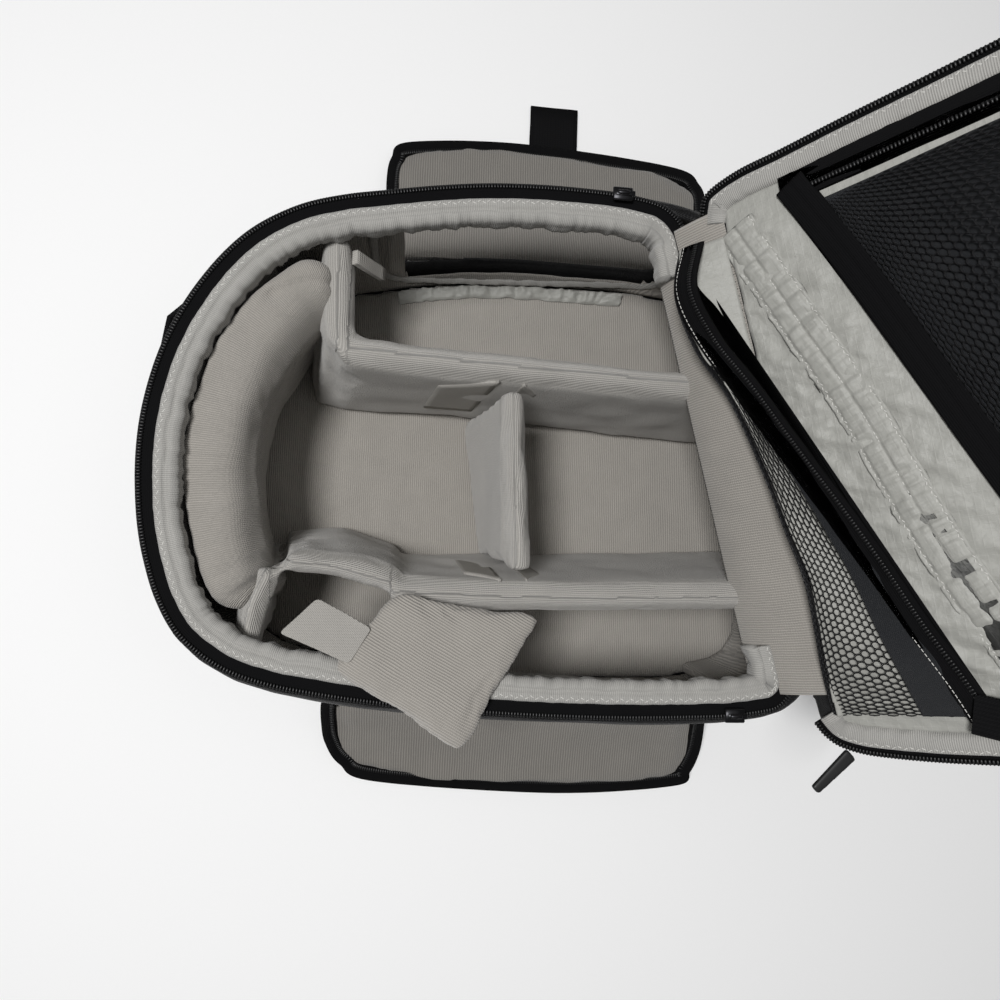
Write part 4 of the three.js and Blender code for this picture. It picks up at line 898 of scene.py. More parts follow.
class BACKPACK_OT_dividers(bpy.types.Operator):
    """Pads the dividers and lays their hook tabs on"""

    bl_idname = "backpack.dividers"
    bl_label = "Dividers"

    def execute(self, context):
        upper = DividerLine("divider_upper", 0)
        stub = DividerLine("divider_stub", 1)
        lower = DividerLine("divider_lower", 0)
        middle = DividerLine("divider_lower_middle", 0)
        end = DividerLine("divider_lower_end", 1)
        cross = DividerLine("divider_cross", 1)
        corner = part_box("divider_stub")[1].x - 1 * MM
        self.wall("divider_upper_pad", {"divider_upper": [(0, -4, 0)],
                                        "divider_stub": [(1, -12, 8), (0, -2, 1)]},
                  lambda p: (stub if p.x < corner else upper).grain(p), 3.6, 51.0)
        near_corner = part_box("divider_lower_end")[1].x - 1 * MM
        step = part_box("divider_lower")[0].x - 1 * MM

        def lower_grain(p):
            line = end if p.x < near_corner else middle if p.x < step else lower
            return line.grain(p)

        self.wall("divider_lower_pad", {"divider_lower": [(0, -2, 0), (1, -1, 1)],
                                        "divider_lower_middle": [(0, 4, 8), (1, -1, 1)],
                                        "divider_lower_end": [(1, -17, 10), (0, -5, 4)]},
                  lower_grain, 3.2, 53.0)
        self.wall("divider_cross_pad", {"divider_cross": [(1, -1, 1), (0, -1, 3)]},
                  cross.grain, 3.0, 55.0)
        for seed, end in enumerate(("far_left", "far_right", "near_left", "near_right")):
            thin_copy("hook_tab_cloth_" + end, "hook_tab_" + end, LOOKS["hook"], "hook_tape",
                      lambda p: (p.x, p.z, 0.0), seed=seed + 1.0)
        thin_copy("stub_flap_cloth", "stub_flap", LOOKS["hook"], "hook_tape",
                  lambda p: (p.y, p.z, 0.0), ripple=1.2, seed=9.0)
        return {"FINISHED"}

    def wall(self, name, reaches, grain, voxel, seed):
        """One padded wall over one or more CAD dividers that meet."""
        shape = joined([stretched(node, reach) for node, reach in reaches.items()])
        pad(name, tuple(reaches), LOOKS["divider"], "grey_loop", grain, voxel=voxel, slim=0.2,
            cap=2.0, seed=seed, rounds=6, lumps=0.9, shape=shape)


class BACKPACK_OT_loose_divider(bpy.types.Operator):
    """Pads the loose divider that lies across the near rim"""

    bl_idname = "backpack.loose_divider"
    bl_label = "Loose divider"

    def execute(self, context):
        pad("loose_divider_pad", "loose_divider", LOOKS["knit"], "grey_knit",
            flat_grain(math.radians(-29)), voxel=2.8, slim=0.0, cap=2.4, seed=21.0,
            rounds=6, lumps=1.4, pressure=6.0)
        thin_copy("loose_divider_tab_cloth", "loose_divider_tab", LOOKS["hook"], "hook_tape",
                  lambda p: (p.x, p.y, 0.0), cuts=5, seed=23.0)
        return {"FINISHED"}


# The pillow's ends from the mouth's middle, its section in from the rim and
# down from its top, how far each end is rounded, and the seam on its far end.
PILLOW_ENDS = [(-98, 128), (-137, -117)]
PILLOW_TIP = 24 * MM
PILLOW_SIDE = [
    (-22.5, -20), (-24.5, -12), (-31, -9.0), (-39, -8.5), (-47, -10.5), (-53, -16), (-56, -27),
    (-54.5, -45), (-50, -80), (-46, -118), (-43, -138), (-38, -140.5), (-26, -140.5),
    (-23.5, -110), (-22.5, -60),
]
PILLOW_CREASE = [(3, 44, -22), (14, 42, -11), (34, 36, -9), (58, 31, -9.5)]


class BACKPACK_OT_inside(bpy.types.Operator):
    """Lines the tub: floor, wall cloth, pillow, slot pocket and end pads"""

    bl_idname = "backpack.inside"
    bl_label = "Inside"

    def execute(self, context):
        pad("floor_cushion", "floor_pad", LOOKS["knit"], "grey_knit",
            flat_grain(math.pi / 2), voxel=4, slim=0.3, cap=0.8, rounds=2,
            lumps=0.5, seed=31.0, fine=False)
        pad("top_pillow_pad", "top_pillow", LOOKS["knit"], "grey_knit", wall_grain, voxel=4,
            slim=0.6, cap=3.4, rounds=3, lumps=1.6, seed=33.0, pressure=6.0,
            shape=self.pillow(), work=self.pillow_seam)
        pad("end_pad_cushion", "end_pad", LOOKS["knit"], "grey_knit", wall_grain, voxel=3,
            slim=0.6, cap=1.6, seed=35.0, fine=False)
        pad("corner_pad_cushion", "corner_pad", LOOKS["knit"], "grey_knit", wall_grain, voxel=3,
            slim=0.6, cap=1.8, seed=36.0, fine=False)
        self.wall_cloth()
        self.slot_pocket()
        self.door_edges()
        return {"FINISHED"}

    def pillow(self):
        """The pillow's shape along the arch, rounded off at both ends."""
        side = outline(PILLOW_SIDE)
        runs = [rim_run(MOUTH_MIDDLE + Vector((x, y, 0)) * MM) for x, y in PILLOW_ENDS]
        middle, half = sum(runs) / 2, (runs[1] - runs[0]) / 2

        def section(t, run):
            out, rise = side(t)
            end = min(abs(run - middle) / half, 1)
            tip = max(1 - max((end * half - half + PILLOW_TIP) / PILLOW_TIP, 0) ** 2, 0.02) ** 0.5
            heart = -37 * MM
            return heart + (out - heart) * lerp(0.35, 1, tip), rise - 9 * MM * (1 - tip)

        return swept(RIM, UP, 150, 60, section, closed=True,
                     span=(runs[0] / RIM.length, runs[1] / RIM.length))

    def pillow_seam(self, bm):
        """The seam that pulls in the pillow's far end, and its dimple."""
        start = rim_run(MOUTH_MIDDLE + Vector((*PILLOW_ENDS[0], 0)) * MM)
        dots = []
        for along, inset, rise in PILLOW_CREASE:
            here, way = RIM.at((start + along * MM) / RIM.length)
            dots.append(here - way.cross(UP).normalized() * inset * MM + UP * rise * MM)
        press(bm, Path(dots), 2.6 * MM, 2.2 * MM)
        press(bm, Path([dots[-1], dots[-1] + UP * 1 * MM]), 5 * MM, 3.0 * MM)

    def wall_cloth(self):
        """The lining, laid against its CAD wall and cut out at both doors."""
        bm_wall = node_copy("lining")
        wall = BVHTree.FromBMesh(bm_wall)
        low = min(v.co.z for v in bm_wall.verts)
        high = max(v.co.z for v in bm_wall.verts)
        bm_wall.free()
        around, rise = 420, 44
        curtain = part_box("far_door_ruffle")[0].x + 8 * MM
        bm = bmesh.new()
        bmesh.ops.create_grid(bm, x_segments=around, y_segments=rise, size=0.5)
        missed = []
        for v in bm.verts:
            angle = (v.co.x + 0.5) * TURN
            z = lerp(low + 0.4 * MM, high - 0.4 * MM, v.co.y + 0.5)
            start = MOUTH_MIDDLE + Vector((30 * MM, 0, z))
            way = Vector((math.cos(angle), math.sin(angle), 0))
            hit, _, _, _ = wall.ray_cast(start, way)
            if hit is None:
                high_start = Vector((start.x, start.y, high - 3 * MM))
                hit, _, _, _ = wall.ray_cast(high_start, way)
                if hit is None or hit.y < 0 or hit.x > curtain:
                    missed.append(v)
                    continue
                hit.z = z
            pucker = 0.7 * MM * lump((rim_run(hit), z * 0.5, 0), 16 * MM, 4.0)
            v.co = hit - way * (0.2 * MM + pucker)
        bmesh.ops.delete(bm, geom=missed, context="VERTS")
        bmesh.ops.remove_doubles(bm, verts=bm.verts[:], dist=0.01 * MM)
        bmesh.ops.recalc_face_normals(bm, faces=bm.faces[:])
        bmesh.ops.solidify(bm, geom=bm.faces[:], thickness=1.2 * MM)
        spread(bm, wall_grain)
        piece = add_piece("wall_cloth", bm, LOOKS["knit"], ("lining",), "grey_knit")

    def slot_pocket(self):
        """The narrow pocket between the arch and the pillow, its edge waving."""
        bm_panel = node_copy("slot_pocket")
        panel = BVHTree.FromBMesh(bm_panel)
        points = [v.co.copy() for v in bm_panel.verts]
        bm_panel.free()
        low = min(p.z for p in points)
        high = max(p.z for p in points)
        angles = [math.atan2(p.y - MOUTH_MIDDLE.y, p.x - MOUTH_MIDDLE.x) % TURN for p in points]
        first, last = min(angles) + 0.004, max(angles) - 0.004
        bm = bmesh.new()
        bmesh.ops.create_grid(bm, x_segments=200, y_segments=26, size=0.5)
        missed = []
        for v in bm.verts:
            share, t = v.co.x + 0.5, v.co.y + 0.5
            angle = lerp(first, last, share)
            crown = lerp(high - 12 * MM, high, max(math.sin(math.pi * share), 0) ** 0.5)
            z = lerp(low + 1 * MM, crown - 0.5 * MM, t)
            way = Vector((math.cos(angle), math.sin(angle), 0))
            hit, _, _, _ = panel.ray_cast(MOUTH_MIDDLE + Vector((0, 0, z)), way)
            if hit is None:
                missed.append(v)
                continue
            run = rim_run(hit)
            wave = smooth(0.7, 1.0, t) * (
                1.5 * lump((run, 0, 0), 15 * MM, 6.0) + 0.8 * lump((run, 0, 0), 5 * MM, 7.0)
            )
            v.co = hit + way * (1.0 + wave + 2.6 * smooth(0.75, 1.0, t)) * MM
            v.co.z += smooth(0.8, 1.0, t) * 1.1 * MM * lump((run, 1, 0), 11 * MM, 8.0)
            v.co.z += smooth(0.5, 1.0, t) * 6 * MM
        bmesh.ops.delete(bm, geom=missed, context="VERTS")
        bmesh.ops.recalc_face_normals(bm, faces=bm.faces[:])
        bmesh.ops.solidify(bm, geom=bm.faces[:], thickness=1.8 * MM)
        spread(bm, wall_grain)
        piece = add_piece("slot_pocket_cloth", bm, LOOKS["knit"], ("slot_pocket",), "grey_knit")
        cloth_sheet(piece)

    def door_edges(self):
        for seed, side in enumerate(("far", "near")):
            node = side + "_door_binding"
            bm = remeshed(node_copy(node), 1.5 * MM, 2)
            bm.normal_update()
            moves = []
            for v in bm.verts:
                fold = lump((v.co.x, v.co.z, 0), 6 * MM, 11.0 + seed)
                moves.append((v, v.normal * 0.8 * MM * fold))
            for v, move in moves:
                v.co += move
            spread(bm, wall_grain)
            add_piece(side + "_door_gathers", bm, LOOKS["binding"], (node,), "grey_binding")
        bm = remeshed(node_copy("far_door_ruffle"), 1.4 * MM, 2)
        for v in bm.verts:
            run = rim_run(v.co)
            fold = lump((run, 0, 0), 6 * MM, 15.0) + 0.5 * lump((run, v.co.y, 0), 3 * MM, 16.0)
            v.co.z += max(fold, -0.5) * 3.0 * MM * smooth(34 * MM, 39 * MM, v.co.z)
            v.co.y += 1.2 * MM * lump((run, v.co.z, 0), 9 * MM, 17.0)
        spread(bm, lambda p: (p.x, p.y, 0.0))
        add_piece("far_door_ruffle_cloth", bm, LOOKS["ripstop"], ("far_door_ruffle",), "grey_nylon")


class BACKPACK_OT_rim(bpy.types.Operator):
    """Runs zip tape, coil and gathered binding round the tub's mouth"""

    bl_idname = "backpack.rim"
    bl_label = "Rim"

    def execute(self, context):
        zips = context.scene.backpack_zips
        tape = outline([
            (2.6, -5.5), (0, -5.6), (-5, -5.6), (-9.8, -5.5), (-9.9, -4.2), (-9.6, -3.4),
            (-5, -3.3), (0, -3.2), (2.4, -3.6),
        ])

        def tape_section(t, run):
            out, rise = tape(t)
            return out, rise + 0.25 * MM * lump((run, out, 0), 24 * MM, 1.0)

        bm = swept(RIM, UP, 420, 18, tape_section, closed=True)
        add_piece("rim_zip_tape", bm, LOOKS["tape"], ("rim_zip",), "black_webbing")
        tooth = bead(1.15 * MM, 2.9 * MM, 1.5 * MM)
        bm = row_of(tooth, RIM, UP, zips.tooth, 0.4 * MM, -2.4 * MM)
        spread(bm, wall_grain)
        add_piece("rim_zip_coil", bm, LOOKS["coil"], (), "black_webbing")
        self.binding(zips.gather)
        return {"FINISHED"}

    def binding(self, gather):
        cloth = outline([
            (-7.5, -6.2), (-7.2, -2.6), (-8.2, -1.4), (-9.6, -1.0), (-12, -0.8), (-15, -1.2),
            (-18.2, -2.2), (-20.4, -4.6), (-20.6, -9), (-19.4, -16), (-16.4, -22.5),
            (-14.4, -24), (-10.8, -23.8), (-10.4, -16), (-10.4, -9.6), (-8.6, -8.6),
        ])

        def section(t, run):
            out, rise = cloth(t)
            pucker = lump((run, 0, 0), 8 * MM, 2.0) + 0.6 * lump((run, 3, 0), 3.4 * MM, 3.0)
            hang = smooth(-13 * MM, -17 * MM, out)
            low = smooth(-3 * MM, -14 * MM, rise)
            crest = 1 - smooth(-5 * MM, -8 * MM, rise)
            wave = 0.9 * MM * lump((run, 5, 0), 14 * MM, 9.0)
            seam = math.exp(-(((out + 14.2 * MM + wave) / (0.9 * MM)) ** 2))
            puff = smooth(-14.5 * MM, -16.5 * MM, out) * crest
            out += -gather * pucker * (0.4 + 1.8 * hang * low + puff)
            rise += gather * pucker * (0.35 + 0.9 * puff) * crest - 2.2 * MM * seam * crest
            rise += 0.7 * MM * puff
            return out, rise

        bm = swept(RIM, UP, 800, 52, section, closed=True)
        add_piece("rim_binding_cloth", bm, LOOKS["binding"], ("rim_binding",), "grey_binding")
        stitch = bead(2.3 * MM, 0.45 * MM, 0.4 * MM)
        bm = row_of(stitch, RIM, UP, 3.0 * MM, -9.9 * MM, -0.85 * MM, sway=0.5 * MM, turn=0.5)
        spread(bm, wall_grain)
        add_piece("rim_binding_stitches", bm, LOOKS["thread"], (), "grey_binding")


def flap_edge_line(node, outward):
    """A flap's free edge, from one end of its root round to the other."""
    points = corners_of(node)
    left, right = min(p.x for p in points), max(p.x for p in points)
    root = min(p.y * outward for p in points) * outward
    heart = Vector(((left + right) / 2, root + outward * 36 * MM, 0))

    def angle(p):
        d = p - heart
        return (math.atan2(d.y * outward, d.x) + math.pi / 2) % TURN

    rows = chunks(points, angle, 4)
    line = [middle_of(row) for row in rows]
    return Path(line if outward < 0 else line[::-1])


class BACKPACK_OT_flaps(bpy.types.Operator):
    """Pads both side door flaps and runs their zips round them"""

    bl_idname = "backpack.flaps"
    bl_label = "Side door flaps"

    def execute(self, context):
        tooth = context.scene.backpack_zips.tooth
        for seed, side in enumerate(("far", "near")):
            node = side + "_flap"
            reach = (1, -9, 0) if side == "far" else (1, 0, 9)
            # The flap pads take the darkened knit: painted shade.
            pad(node + "_pad", node, LOOKS["flap"], "grey_knit", flat_grain(math.pi / 2),
                voxel=3.6, slim=1.2, cap=2.4, lumps=1.0, seed=41.0 + seed,
                shape=stretched(node, [reach]))
            line = flap_edge_line(node, 1 if side == "far" else -1)
            bm = swept(line, UP, 260, 16, self.edge_section, closed=True)
            add_piece(node + "_tape", bm, LOOKS["tape"], (node + "_edge",), "black_webbing")
            bm = row_of(bead(1.2 * MM, 3.4 * MM, 1.8 * MM), line, UP, tooth, 5.4 * MM, 3.9 * MM)
            spread(bm, lambda p: (p.x, p.y, 0.0))
            add_piece(node + "_coil", bm, LOOKS["coil"], (), "black_webbing")
        return {"FINISHED"}

    def edge_section(self, t, run):
        out, rise = EDGE_TAPE(t)
        return out, rise + 0.3 * MM * lump((run, 0, 0), 20 * MM, 5.0)


EDGE_TAPE = outline([
    (-2.4, 5.0), (0.6, 5.6), (3.6, 4.6), (7.4, 2.8), (8.4, 0.4), (7.0, -1.6), (3.0, -2.8),
    (0.8, -3.4), (-1.2, -3.2), (0.0, -1.4), (0.2, 2.0),
])


class BACKPACK_OT_shell(bpy.types.Operator):
    """Covers the tub and the lid's back in black nylon, with piped seams"""

    bl_idname = "backpack.shell"
    bl_label = "Shell"

    def execute(self, context):
        bm = remeshed(node_copy("shell"), 3.6 * MM, 3)
        crumple(bm, 45 * MM, 0.9 * MM, 51.0)
        spread(bm, wall_grain)
        piece = add_piece("tub_shell", bm, LOOKS["nylon"], ("shell",), "black_nylon")
        points = corners_of("shell")
        low = min(p.z for p in points)
        foot = [p for p in points if p.z < low + 0.2 * MM]

        def angle(p):
            return math.atan2(p.y - MOUTH_MIDDLE.y, p.x - MOUTH_MIDDLE.x - 30 * MM)

        ring = Path(sorted(foot, key=angle), closed=True)
        for name, rise, out in (("foot_piping", 4.5, 1.2), ("foot_piping_low", -1.2, -1.5)):
            bm = swept(ring, UP, 420, 10, lambda t, run: (
                math.cos(TURN * t) * 2.2 * MM + out * MM,
                math.sin(TURN * t) * 2.2 * MM + rise * MM,
            ), closed=True)
            add_piece(name, bm, LOOKS["tape"], (), "black_nylon")
        self.lid_back()
        return {"FINISHED"}

    def hinge_cloth(self):
        """Grey cloth that carries the lining over the hinge onto the lid."""
        bm = bmesh.new()
        bmesh.ops.create_grid(bm, x_segments=160, y_segments=24, size=0.5)
        for vert in bm.verts:
            s, t = vert.co.x + 0.5, vert.co.y + 0.5
            u = lerp(14 * MM, HINGE_LENGTH - 14 * MM, s)
            base = HINGE_NEAR + HINGE_WAY * u
            foot = base + HINGE_OUT * HINGE_CLOTH_FOOT["out"]
            foot.z = HINGE_CLOTH_FOOT["z"]
            bend = base + HINGE_OUT * HINGE_CLOTH_BEND["out"]
            bend.z = HINGE_CLOTH_BEND["z"]
            top = on_lid(u, HINGE_CLOTH_LID["v"], HINGE_CLOTH_LID["w"])
            here = foot.lerp(bend, t).lerp(bend.lerp(top, t), t)
            sag = lump((u, t * 0.02, 0), 15 * MM, 57.0) + 0.4 * lump((u, t * 0.01, 1), 6 * MM, 58.0)
            vert.co = here - HINGE_OUT * (1.2 * MM * sag * math.sin(math.pi * t))
        bm.normal_update()
        bmesh.ops.solidify(bm, geom=bm.faces[:], thickness=0.9 * MM)
        spread(bm, lambda p: ((p - HINGE_NEAR).dot(HINGE_WAY), p.z, 0.0))
        add_piece("hinge_cloth", bm, LOOKS["knit"], (), "grey_knit")

    def lid_back(self):
        def lid_grain(point):
            u, v, _ = to_lid(point)
            return (u, v, 0.0)

        bm = remeshed(node_copy("lid_panel"), 4.2 * MM, 3)
        crumple(bm, 60 * MM, 1.4 * MM, 53.0)
        spread(bm, lid_grain)
        piece = add_piece("lid_shell", bm, LOOKS["nylon"], ("lid_panel",), "black_nylon")
        self.hinge_cloth()
        bm = remeshed(node_copy("lid_hinge"), 2.4 * MM, 2)
        bm.normal_update()
        moves = []
        for v in bm.verts:
            run = (v.co - HINGE_NEAR).dot(HINGE_WAY)
            moves.append((v, v.normal * 1.3 * MM * lump((run, v.co.z * 0.4, 0), 14 * MM, 54.0)))
        for v, move in moves:
            v.co += move
        spread(bm, lid_grain)
        piece = add_piece("lid_gusset", bm, LOOKS["nylon"], ("lid_hinge",), "black_nylon")


# Where the grey cloth over the hinge runs, from the wall up onto the lid: out from
# the hinge line on the wall and above the ground, then out and up on the lid.
HINGE_CLOTH_FOOT = {"out": -16 * MM, "z": 150 * MM}
HINGE_CLOTH_BEND = {"out": -13 * MM, "z": 172 * MM}
HINGE_CLOTH_LID = {"v": 17 * MM, "w": -0.5 * MM}


# The low pocket's zip band and belly, as in the CAD: shares of the lid's width,
# its length and the pocket's depth.
POCKET_DEPTH = 28 * MM
LOW_POCKET = [
    {"across": 0.905, "band": 0.0, "band_up": 0.35, "belly": -0.03, "belly_up": 0.2},
    {"across": 0.82, "band": -0.005, "band_up": 1.0, "belly": -0.035, "belly_up": 0.72},
    {"across": 0.727, "band": 0.008, "band_up": 0.79, "belly": -0.022, "belly_up": 0.72},
    {"across": 0.634, "band": 0.042, "band_up": 0.57, "belly": 0.006, "belly_up": 0.57},
    {"across": 0.517, "band": 0.082, "band_up": 0.39, "belly": 0.032, "belly_up": 0.62},
    {"across": 0.395, "band": 0.127, "band_up": 0.25, "belly": 0.055, "belly_up": 0.79},
    {"across": 0.305, "band": 0.159, "band_up": 0.21, "belly": 0.066, "belly_up": 0.75},
    {"across": 0.217, "band": 0.188, "band_up": 0.18, "belly": 0.06, "belly_up": 0.6},
    {"across": 0.13, "band": 0.222, "band_up": 0.14, "belly": 0.05, "belly_up": 0.3},
    {"across": 0.075, "band": 0.24, "band_up": 0.12, "belly": 0.05, "belly_up": 0.12},
]
POCKET_FOOT = 0.045


def on_row(rows, key, share):
    """A column's value at a share along a table, smoothly."""
    place = share * (len(rows) - 1)
    k = min(int(place), len(rows) - 2)
    t = place - k
    a, b = rows[k][key], rows[k + 1][key]
    before = rows[max(k - 1, 0)][key]
    after = rows[min(k + 2, len(rows) - 1)][key]
    bend = (b - before) * t + (2 * before - 5 * a + 4 * b - after) * t * t
    bend += (3 * a - before - 3 * b + after) * t * t * t
    return a + bend / 2


def lid_edges(v, inset):
    """The lid's two side edges at a distance from the hinge, drawn in by an inset."""
    dots = [to_lid(d) for d in LID.dots]
    dots.append(dots[0])
    cuts = []
    for a, b in zip(dots, dots[1:]):
        if (a.y - v) * (b.y - v) <= 0 and abs(a.y - b.y) > 1e-9:
            cuts.append(lerp(a.x, b.x, (v - a.y) / (b.y - a.y)))
    return min(cuts) + inset, max(cuts) - inset


def band_line(node, by_out=False):
    """The middle line of a strip on the lid, read from its CAD solid."""
    points = [to_lid(p) for p in corners_of(node)]
    groups = chunks(points, lambda p: p.y if by_out else p.x, 4)
    return [middle_of(g) for g in groups]


class BACKPACK_OT_lid(bpy.types.Operator):
    """Dresses the lid's inside: zip, binding, ripstop, strip, bands and nets"""

    bl_idname = "backpack.lid"
    bl_label = "Lid"

    def execute(self, context):
        zips = context.scene.backpack_zips
        self.edge(zips)
        self.lining()
        self.strip()
        self.bands(zips)
        self.nets()
        return {"FINISHED"}

    def edge(self, zips):
        tape = outline([
            (2.4, -4.8), (1.6, -5.6), (-2.6, -5.7), (-3.2, -4.4), (-2.4, -3.2), (0, -3.0),
            (1.9, -3.4),
        ])
        bm = swept(LID, LID_IN, 420, 14, lambda t, run: tape(t), closed=True)
        add_piece("lid_zip_tape", bm, LOOKS["tape"], ("lid_zip",), "black_webbing")
        tooth = bead(1.15 * MM, 3.0 * MM, 1.7 * MM)
        bm = row_of(tooth, LID, LID_IN, zips.tooth, 0.2 * MM, -2.2 * MM)
        spread(bm, lambda p: (to_lid(p).x, to_lid(p).y, 0.0))
        add_piece("lid_zip_coil", bm, LOOKS["coil"], (), "black_webbing")
        cloth = outline([
            (-3.3, -5.6), (-3.2, -2.4), (-4.4, -0.9), (-7, -0.2), (-10.5, -0.3), (-13.2, -1.2),
            (-14.8, -3.2), (-14.9, -5.4), (-9, -5.8),
        ])

        def section(t, run):
            out, rise = cloth(t)
            top = smooth(-4.5 * MM, -1.5 * MM, rise)
            pucker = lump((run, 0, 0), 7 * MM, 61.0) + 0.5 * lump((run, 1, 0), 3 * MM, 62.0)
            inner = smooth(-9 * MM, -14 * MM, out)
            seam = math.exp(-(((out + 5.6 * MM) / (0.7 * MM)) ** 2))
            rise += top * (zips.gather * pucker * (0.35 + inner) - 0.5 * MM * seam)
            out += zips.gather * pucker * 1.1 * inner
            return out, rise

        bm = swept(LID, LID_IN, 700, 30, section, closed=True)
        add_piece("lid_binding_cloth", bm, LOOKS["binding"], ("lid_binding",), "grey_binding")
        stitch = bead(2.2 * MM, 0.45 * MM, 0.4 * MM)
        bm = row_of(stitch, LID, LID_IN, 3.0 * MM, -5.4 * MM, -0.7 * MM, span=(0.012, 0.988),
                    sway=0.4 * MM, turn=0.5)
        spread(bm, lambda p: (to_lid(p).x, to_lid(p).y, 0.0))
        add_piece("lid_binding_stitches", bm, LOOKS["thread"], (), "grey_binding")

    def lining(self):
        """Crinkled ripstop, its folds running up from the gathered strip."""
        inset = 14.5 * MM
        low, high = 18 * MM, max(to_lid(d).y for d in LID.dots) - inset
        bm = bmesh.new()
        grain = bm.verts.layers.float_vector.new("grain")
        bmesh.ops.create_grid(bm, x_segments=210, y_segments=210, size=0.5)
        fold_way = Matrix.Rotation(math.radians(-18), 3, "Z")
        pocket = band_line("lid_high_band")
        edges = {}
        for vert in bm.verts:
            s, t = vert.co.x + 0.5, vert.co.y + 0.5
            v = lerp(low, high, t)
            key = round(t, 4)
            if key not in edges:
                edges[key] = lid_edges(v, inset)
            u = lerp(*edges[key], s)
            q = fold_way @ Vector((u, v, 0))
            border = min(smooth(0, 0.05, s), smooth(0, 0.05, 1 - s), smooth(0, 0.05, 1 - t))
            long_fold = lump((q.x, q.y * 0.28, 0), 17 * MM, 71.0)
            small = lump((q.x, q.y * 0.55, 0), 7 * MM, 72.0)
            tiny = lump((q.x, q.y, 0), 3.4 * MM, 73.0)
            ridge = 1 - abs(lump((q.x, q.y * 0.35, 0), 12 * MM, 74.0)) * 2.2
            rise = 2.6 * max(long_fold, -0.5) + 1.3 * small + 0.4 * tiny + 1.6 * max(ridge, 0)
            k = 1
            while k < len(pocket) - 1 and pocket[k].x < u:
                k += 1
            a, b = pocket[k - 1], pocket[k]
            edge = lerp(a.y, b.y, (u - a.x) / (b.x - a.x))
            rise *= lerp(1, 0.12, smooth(edge - 22 * MM, edge - 10 * MM, v))
            vert.co = on_lid(u, v, LID_FACE - 0.9 * MM + (1.2 + rise) * MM * border)
            vert[grain] = (u, v, 0.0)
        bmesh.ops.recalc_face_normals(bm, faces=bm.faces[:])
        bmesh.ops.solidify(bm, geom=bm.faces[:], thickness=0.8 * MM)
        piece = add_piece("lid_ripstop_cloth", bm, LOOKS["ripstop"], ("lid_lining",), "grey_nylon")
        cloth_sheet(piece)

    def strip(self):
        """Elastic strip gathered between two rows of stitches and a middle one."""
        line = Path([on_lid(*p) for p in band_line("lid_gathered_strip")])
        wide = 24 * MM

        def section(t, run):
            across = (t * 2 - 1) if t < 0.5 else (3 - t * 2) - 0
            top = t < 0.5
            across = lerp(-1, 1, t * 2) if top else lerp(1, -1, t * 2 - 1)
            rows = math.exp(-((abs(across) - 0.82) / 0.08) ** 2)
            rows += math.exp(-(across / 0.09) ** 2)
            pucker = lump((run, 0, 0), 5.5 * MM, 75.0) + 0.6 * lump((run, 1, 0), 2.6 * MM, 76.0)
            edge = across * wide / 2 * (1 + 0.03 * lump((run, 2, 0), 7 * MM, 77.0))
            if not top:
                return edge, -0.6 * MM
            puff = (1 - across**2) ** 0.5 if abs(across) < 1 else 0
            pucker += 0.7 * lump((run, across * 4 * MM, 3), 3.2 * MM, 78.0)
            rise = 1.4 * MM + 1.5 * MM * puff + 1.5 * MM * pucker * (1 - 0.6 * min(rows, 1))
            return edge, rise - 1.1 * MM * min(rows, 1)

        bm = swept(line, LID_IN, 420, 56, section, closed=True)
        add_piece("lid_gathered_cloth", bm, LOOKS["ripstop"], ("lid_gathered_strip",), "grey_nylon")
        spots = bmesh.new()
        for out in (-0.82, 0.0, 0.82):
            stitch = bead(1.7 * MM, 0.45 * MM, 0.4 * MM)
            row = row_of(stitch, line, LID_IN, 2.5 * MM, out * wide / 2, 1.5 * MM,
                         sway=0.4 * MM * abs(out), turn=0.5 * abs(out))
            mesh = bpy.data.meshes.new("row")
            row.to_mesh(mesh)
            row.free()
            spots.from_mesh(mesh)
            bpy.data.meshes.remove(mesh)
        spread(spots, lambda p: (to_lid(p).x, to_lid(p).y, 0.0))
        add_piece("lid_strip_stitches", spots, LOOKS["thread"], (), "grey_nylon")

    def bands(self, zips):
        bands = {
            "lid_pocket_band": ("lid_pocket_band_tape", 14, False, 1.2),
            "lid_high_band": ("lid_high_band_tape", 17, False, 0.3),
            "lid_high_zip": ("lid_high_zip_tape", 17, True, 0.3),
            "lid_zip_garage": ("lid_zip_garage_cloth", 22, True, 0.6),
        }
        for seed, (node, (name, wide, by_out, sag)) in enumerate(bands.items()):
            points = band_line(node, by_out)
            if node == "lid_high_zip":
                points[0] += (points[0] - points[1]).normalized() * 20 * MM
            line = Path([on_lid(*p) for p in points])

            def section(t, run):
                top = t < 0.5
                across = lerp(-1, 1, t * 2) if top else lerp(1, -1, t * 2 - 1)
                wave = sag * MM * lump((run, across * 0.01, 0), 22 * MM, 81.0 + seed)
                lift = 1.1 * MM * (1 - 0.5 * across**6) if top else -1.1 * MM
                if top and node != "lid_zip_garage":
                    lift += 0.5 * MM * math.exp(-((abs(across) - 0.3) / 0.12) ** 2)
                return across * wide * MM / 2, lift + wave

